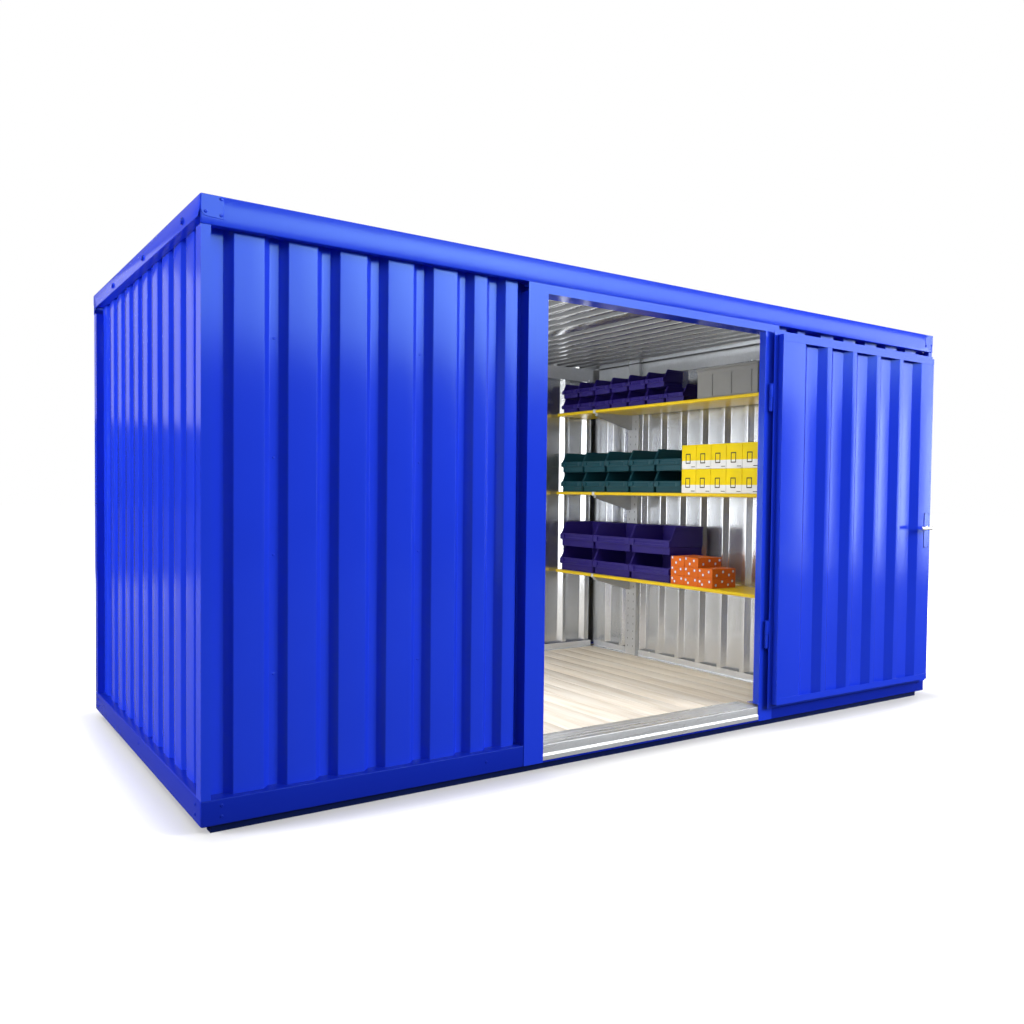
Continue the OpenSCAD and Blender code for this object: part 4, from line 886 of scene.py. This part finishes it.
# A plain printed frame on each carton, and a short line at its foot: films 0.2 mm thick. Each bar
# is given by its ends along the carton and its heights.
mark_low, mark_high, mark_half, mark_line = 0.030, 0.088, 0.021, 0.0065
mark_left, mark_right = 0.55 * carton_wide - mark_half, 0.55 * carton_wide + mark_half
mark_bars = ((mark_left, mark_left + mark_line, mark_low, mark_high),
             (mark_right - mark_line, mark_right, mark_low, mark_high),
             (mark_left, mark_right, mark_low, mark_low + mark_line),
             (mark_left, mark_right, mark_high - mark_line, mark_high), (0.006, 0.040, 0.010, 0.014))
film_front, film_back = goods_front - 0.0002, goods_front + 0.001
films = [pad_rings([film_front, y + near, z + low], [film_back, y + far, z + high], 0.0001)
         for y, z in carton_corners for near, far, low, high in mark_bars]
piece("carton_marks", films, [carton_ink])

packet_wide, packet_deep, packet_tall, packet_ease = 0.119, 0.180, 0.0545, 0.0015
packet_pitch, packet_rise = 0.121, 0.055
packet_start = row_start - 3 * (large_wide + bin_gap) - 0.012
packet_levels = [(0, packet_ease), (packet_ease, 0), (packet_tall - packet_ease, 0),
                 (packet_tall, packet_ease)]
packet_places = [(packet_start - (k + 1) * packet_pitch, low_top + layer * packet_rise)
                 for k, layers in enumerate((3, 3, 2)) for layer in range(layers)]
packets = [box_rings(packet_wide, packet_deep, y, z, packet_levels) for y, z in packet_places]
piece("orange_packets", packets, [carton_orange])

# Each packet's spots, as places on its front, its side and its top. A spot is a white disc on a
# wider blue one, and both start 1 mm inside the packet.
disc, rim = [(0.0066, -0.001), (0.0066, 0.0002)], [(0.0085, -0.001), (0.0085, 0.0001)]
spots, rims = [], []
for k, (y, z) in enumerate(packet_places):
    shift = 0.006 * (k % 3 - 1)
    front_places = ((0.030 + shift, 0.037), (0.078 - shift, 0.017), (0.105, 0.040 + shift))
    side_places = ((0.034, 0.018), (0.082, 0.037), (0.128, 0.018), (0.160, 0.038))
    top_places = ((0.04, 0.03), (0.10, 0.08), (0.14, 0.03))
    for facing, middles in (((0, -1), [(goods_front, y + a, z + b) for a, b in front_places]),
                            ((1, -1), [(goods_front + a + shift, y, z + b) for a, b in side_places]),
                            ((2, 1), [(goods_front + a, y + b, z + packet_tall) for a, b in top_places])):
        rims += [turned(middle, facing, rim) for middle in middles]
        spots += [turned(middle, facing, disc) for middle in middles]
print_blue = card("print_blue", (0.16, 0.14, 0.42))
piece("packet_rings", rims, [print_blue])
piece("packet_spots", spots, [carton_white])

# ---------------------------------------------------------------------------------------------
# Hinges
# Steel leaves on the door and on posts beside the doorway, joined by upright pins. Powder coated
# with the walls.
coat(blue, "hinge_posts", "door_hinge_leaves")

# ---------------------------------------------------------------------------------------------
# Door leaf
# A ribbed 1 mm sheet inside a folded frame with a flange all round, powder coated on both sides.
# The hinge leaves are fixed to its frame.
leaf_sheet = ribbed("door_sheet", 0, 1, -1, 2, wave=0.0003)
piece("leaf_sheet", [leaf_sheet], [blue], ("door_sheet",), "door", thin=True)
coat(blue, "door_frame")

# ---------------------------------------------------------------------------------------------
# Lock and levers
# A plate on each side of the leaf, painted with it and held by four near-black screws, with a thin
# near-black rim under its edge as painted shade; a lock case inside the leaf, and a satin silver
# lever on each side, on one spindle.


def satin_metal(name, tone, rough):
    """Satin drawn metal: an even tone with fine brushing along it."""
    finish, shader = new_finish(name, Metallic=1.0)
    lines = noise(finish, vector(finish, "MULTIPLY", object_point(finish), (40.0, 900.0, 900.0)), 1.0, 2.0)
    link(finish, spread(finish, lines, tone * 0.94, tone * 1.06), shader.inputs["Base Color"])
    link(finish, spread(finish, lines, rough - 0.05, rough + 0.05), shader.inputs["Roughness"])
    return finish


silver = satin_metal("satin_silver", 0.86, 0.24)
plate_low, plate_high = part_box("lock_plates")
lever_low, lever_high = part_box("door_levers")
inner_face, outer_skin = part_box("door_sheet")[0].y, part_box("door_sheet")[1].y
spindle_x, spindle_z = 1.915, (lever_low.z + lever_high.z) / 2


def plate_rings(face_y, way, grow, thick, ease):
    """A lock plate or the near-black rim of painted shade under it: a rounded rectangle as seen from
    the front, grown by grow, carried out from the leaf's face and drawn in by ease at its outer edge."""
    wide, tall = plate_high.x - plate_low.x + 2 * grow, plate_high.z - plate_low.z + 2 * grow
    left_x, low_z = plate_low.x - grow, plate_low.z - grow
    rings = []
    for out, inset in ((-0.001, 0), (thick - ease, 0), (thick - 0.3 * ease, 0.3 * ease), (thick, ease),
                       (thick, 2 * ease)):
        outline = rounded_box(wide - 2 * inset, tall - 2 * inset, 0.005 - inset, 4) + inset
        out_y = np.full(len(outline), face_y + way * out)
        rings.append(np.column_stack([left_x + outline[:, 0], out_y, low_z + outline[:, 1]]))
    return np.stack(rings)


plate_thick, shade_rim_thick, shade_rim_grow, screw_in, screw_up = 0.003, 0.0010, 0.0008, 0.006, 0.007
screw_profile = [(0.0035, -0.001), (0.0035, 0.0004), (0.0028, 0.0009), (0.0012, 0.0009), (0.0010, 0.0002),
                 (0.0001, 0.0002)]
plate_shade_rims, lock_covers, lock_screws = [], [], []
for face_y, way in ((inner_face, -1), (outer_skin, 1)):
    plate_shade_rims.append(plate_rings(face_y, way, shade_rim_grow, shade_rim_thick, 0.0002))
    lock_covers.append(plate_rings(face_y, way, 0.0, plate_thick, 0.0010))
    lock_screws += [turned((x, face_y + way * plate_thick, z), (1, way), screw_profile, 12)
                    for x in (plate_low.x + screw_in, plate_high.x - screw_in)
                    for z in (plate_low.z + screw_up, plate_high.z - screw_up)]
# The near-black rim grown round each plate is painted shade at the plate's edge.
piece("lock_plate_shade_rims", plate_shade_rims, [slot_shade], body="door")
piece("lock_covers", lock_covers, [blue], ("lock_plates",), "door")
piece("lock_screws", lock_screws, [slot_shade], body="door")


def lever_rings(start_y, bar_y):
    """A lever: a round neck that leaves the plate, turns on a quarter circle and becomes a flat bar
    with a rounded end. Its section is (a cos^e, b sin^e), with e from 1 (round) down to 0.6. The
    table gives a, b and e at each ring."""
    bend, way, reach = 0.011, np.sign(bar_y - start_y), 0.104
    turn = np.radians(np.linspace(0, 90, 7))
    bar_x = spindle_x - np.array([0.030, 0.060, 0.085, reach - 0.0025, reach - 0.0006, reach])
    bend_x, bend_y = spindle_x - bend * (1 - np.cos(turn)), bar_y - way * bend * (1 - np.sin(turn))
    path = np.vstack([[[spindle_x, start_y]], np.column_stack([bend_x, bend_y]),
                      np.column_stack([bar_x, np.full(6, bar_y)])])
    ahead = np.vstack([[[0, way]], np.column_stack([-np.sin(turn), way * np.cos(turn)]),
                       np.tile([-1.0, 0], (6, 1))])
    side = np.column_stack([-ahead[:, 1], ahead[:, 0]])
    thick, tall, power = np.array([
        (0.0085, 0.0085, 1), (0.0085, 0.0085, 1), (0.0080, 0.0085, 0.95), (0.0074, 0.0086, 0.9),
        (0.0068, 0.0087, 0.85), (0.0060, 0.0088, 0.8), (0.0053, 0.0089, 0.7), (0.0048, 0.0098, 0.65),
        (0.0045, 0.0100, 0.6), (0.0045, 0.0100, 0.6), (0.0045, 0.0100, 0.6), (0.0044, 0.0099, 0.6),
        (0.0038, 0.0092, 0.65), (0.0025, 0.0070, 0.8)]).T[..., None]
    angle = np.radians(np.arange(0, 360, 12))
    across = np.sign(np.cos(angle)) * np.abs(np.cos(angle)) ** power * thick
    level = np.sign(np.sin(angle)) * np.abs(np.sin(angle)) ** power * tall
    plan = path[:, None] + across[..., None] * side[:, None]
    return np.stack([plan[..., 0], plan[..., 1], spindle_z + level], -1)


neck_sunk, half_bar = 0.002, 0.0048
rosette = [(0.0120, -0.001), (0.0120, 0.002), (0.0110, 0.0032), (0.0095, 0.0035), (0.0085, 0.0035)]
levers = []
for face_y, way, far in ((inner_face, -1, lever_low.y), (outer_skin, 1, lever_high.y)):
    levers.append(lever_rings(face_y + way * neck_sunk, far - way * half_bar))
    levers.append(turned((spindle_x, face_y + way * plate_thick, spindle_z), (1, way), rosette, 32))
piece("lever_pair", levers, [silver], ("door_levers",), "handle")
coat(silver, "lock_case")
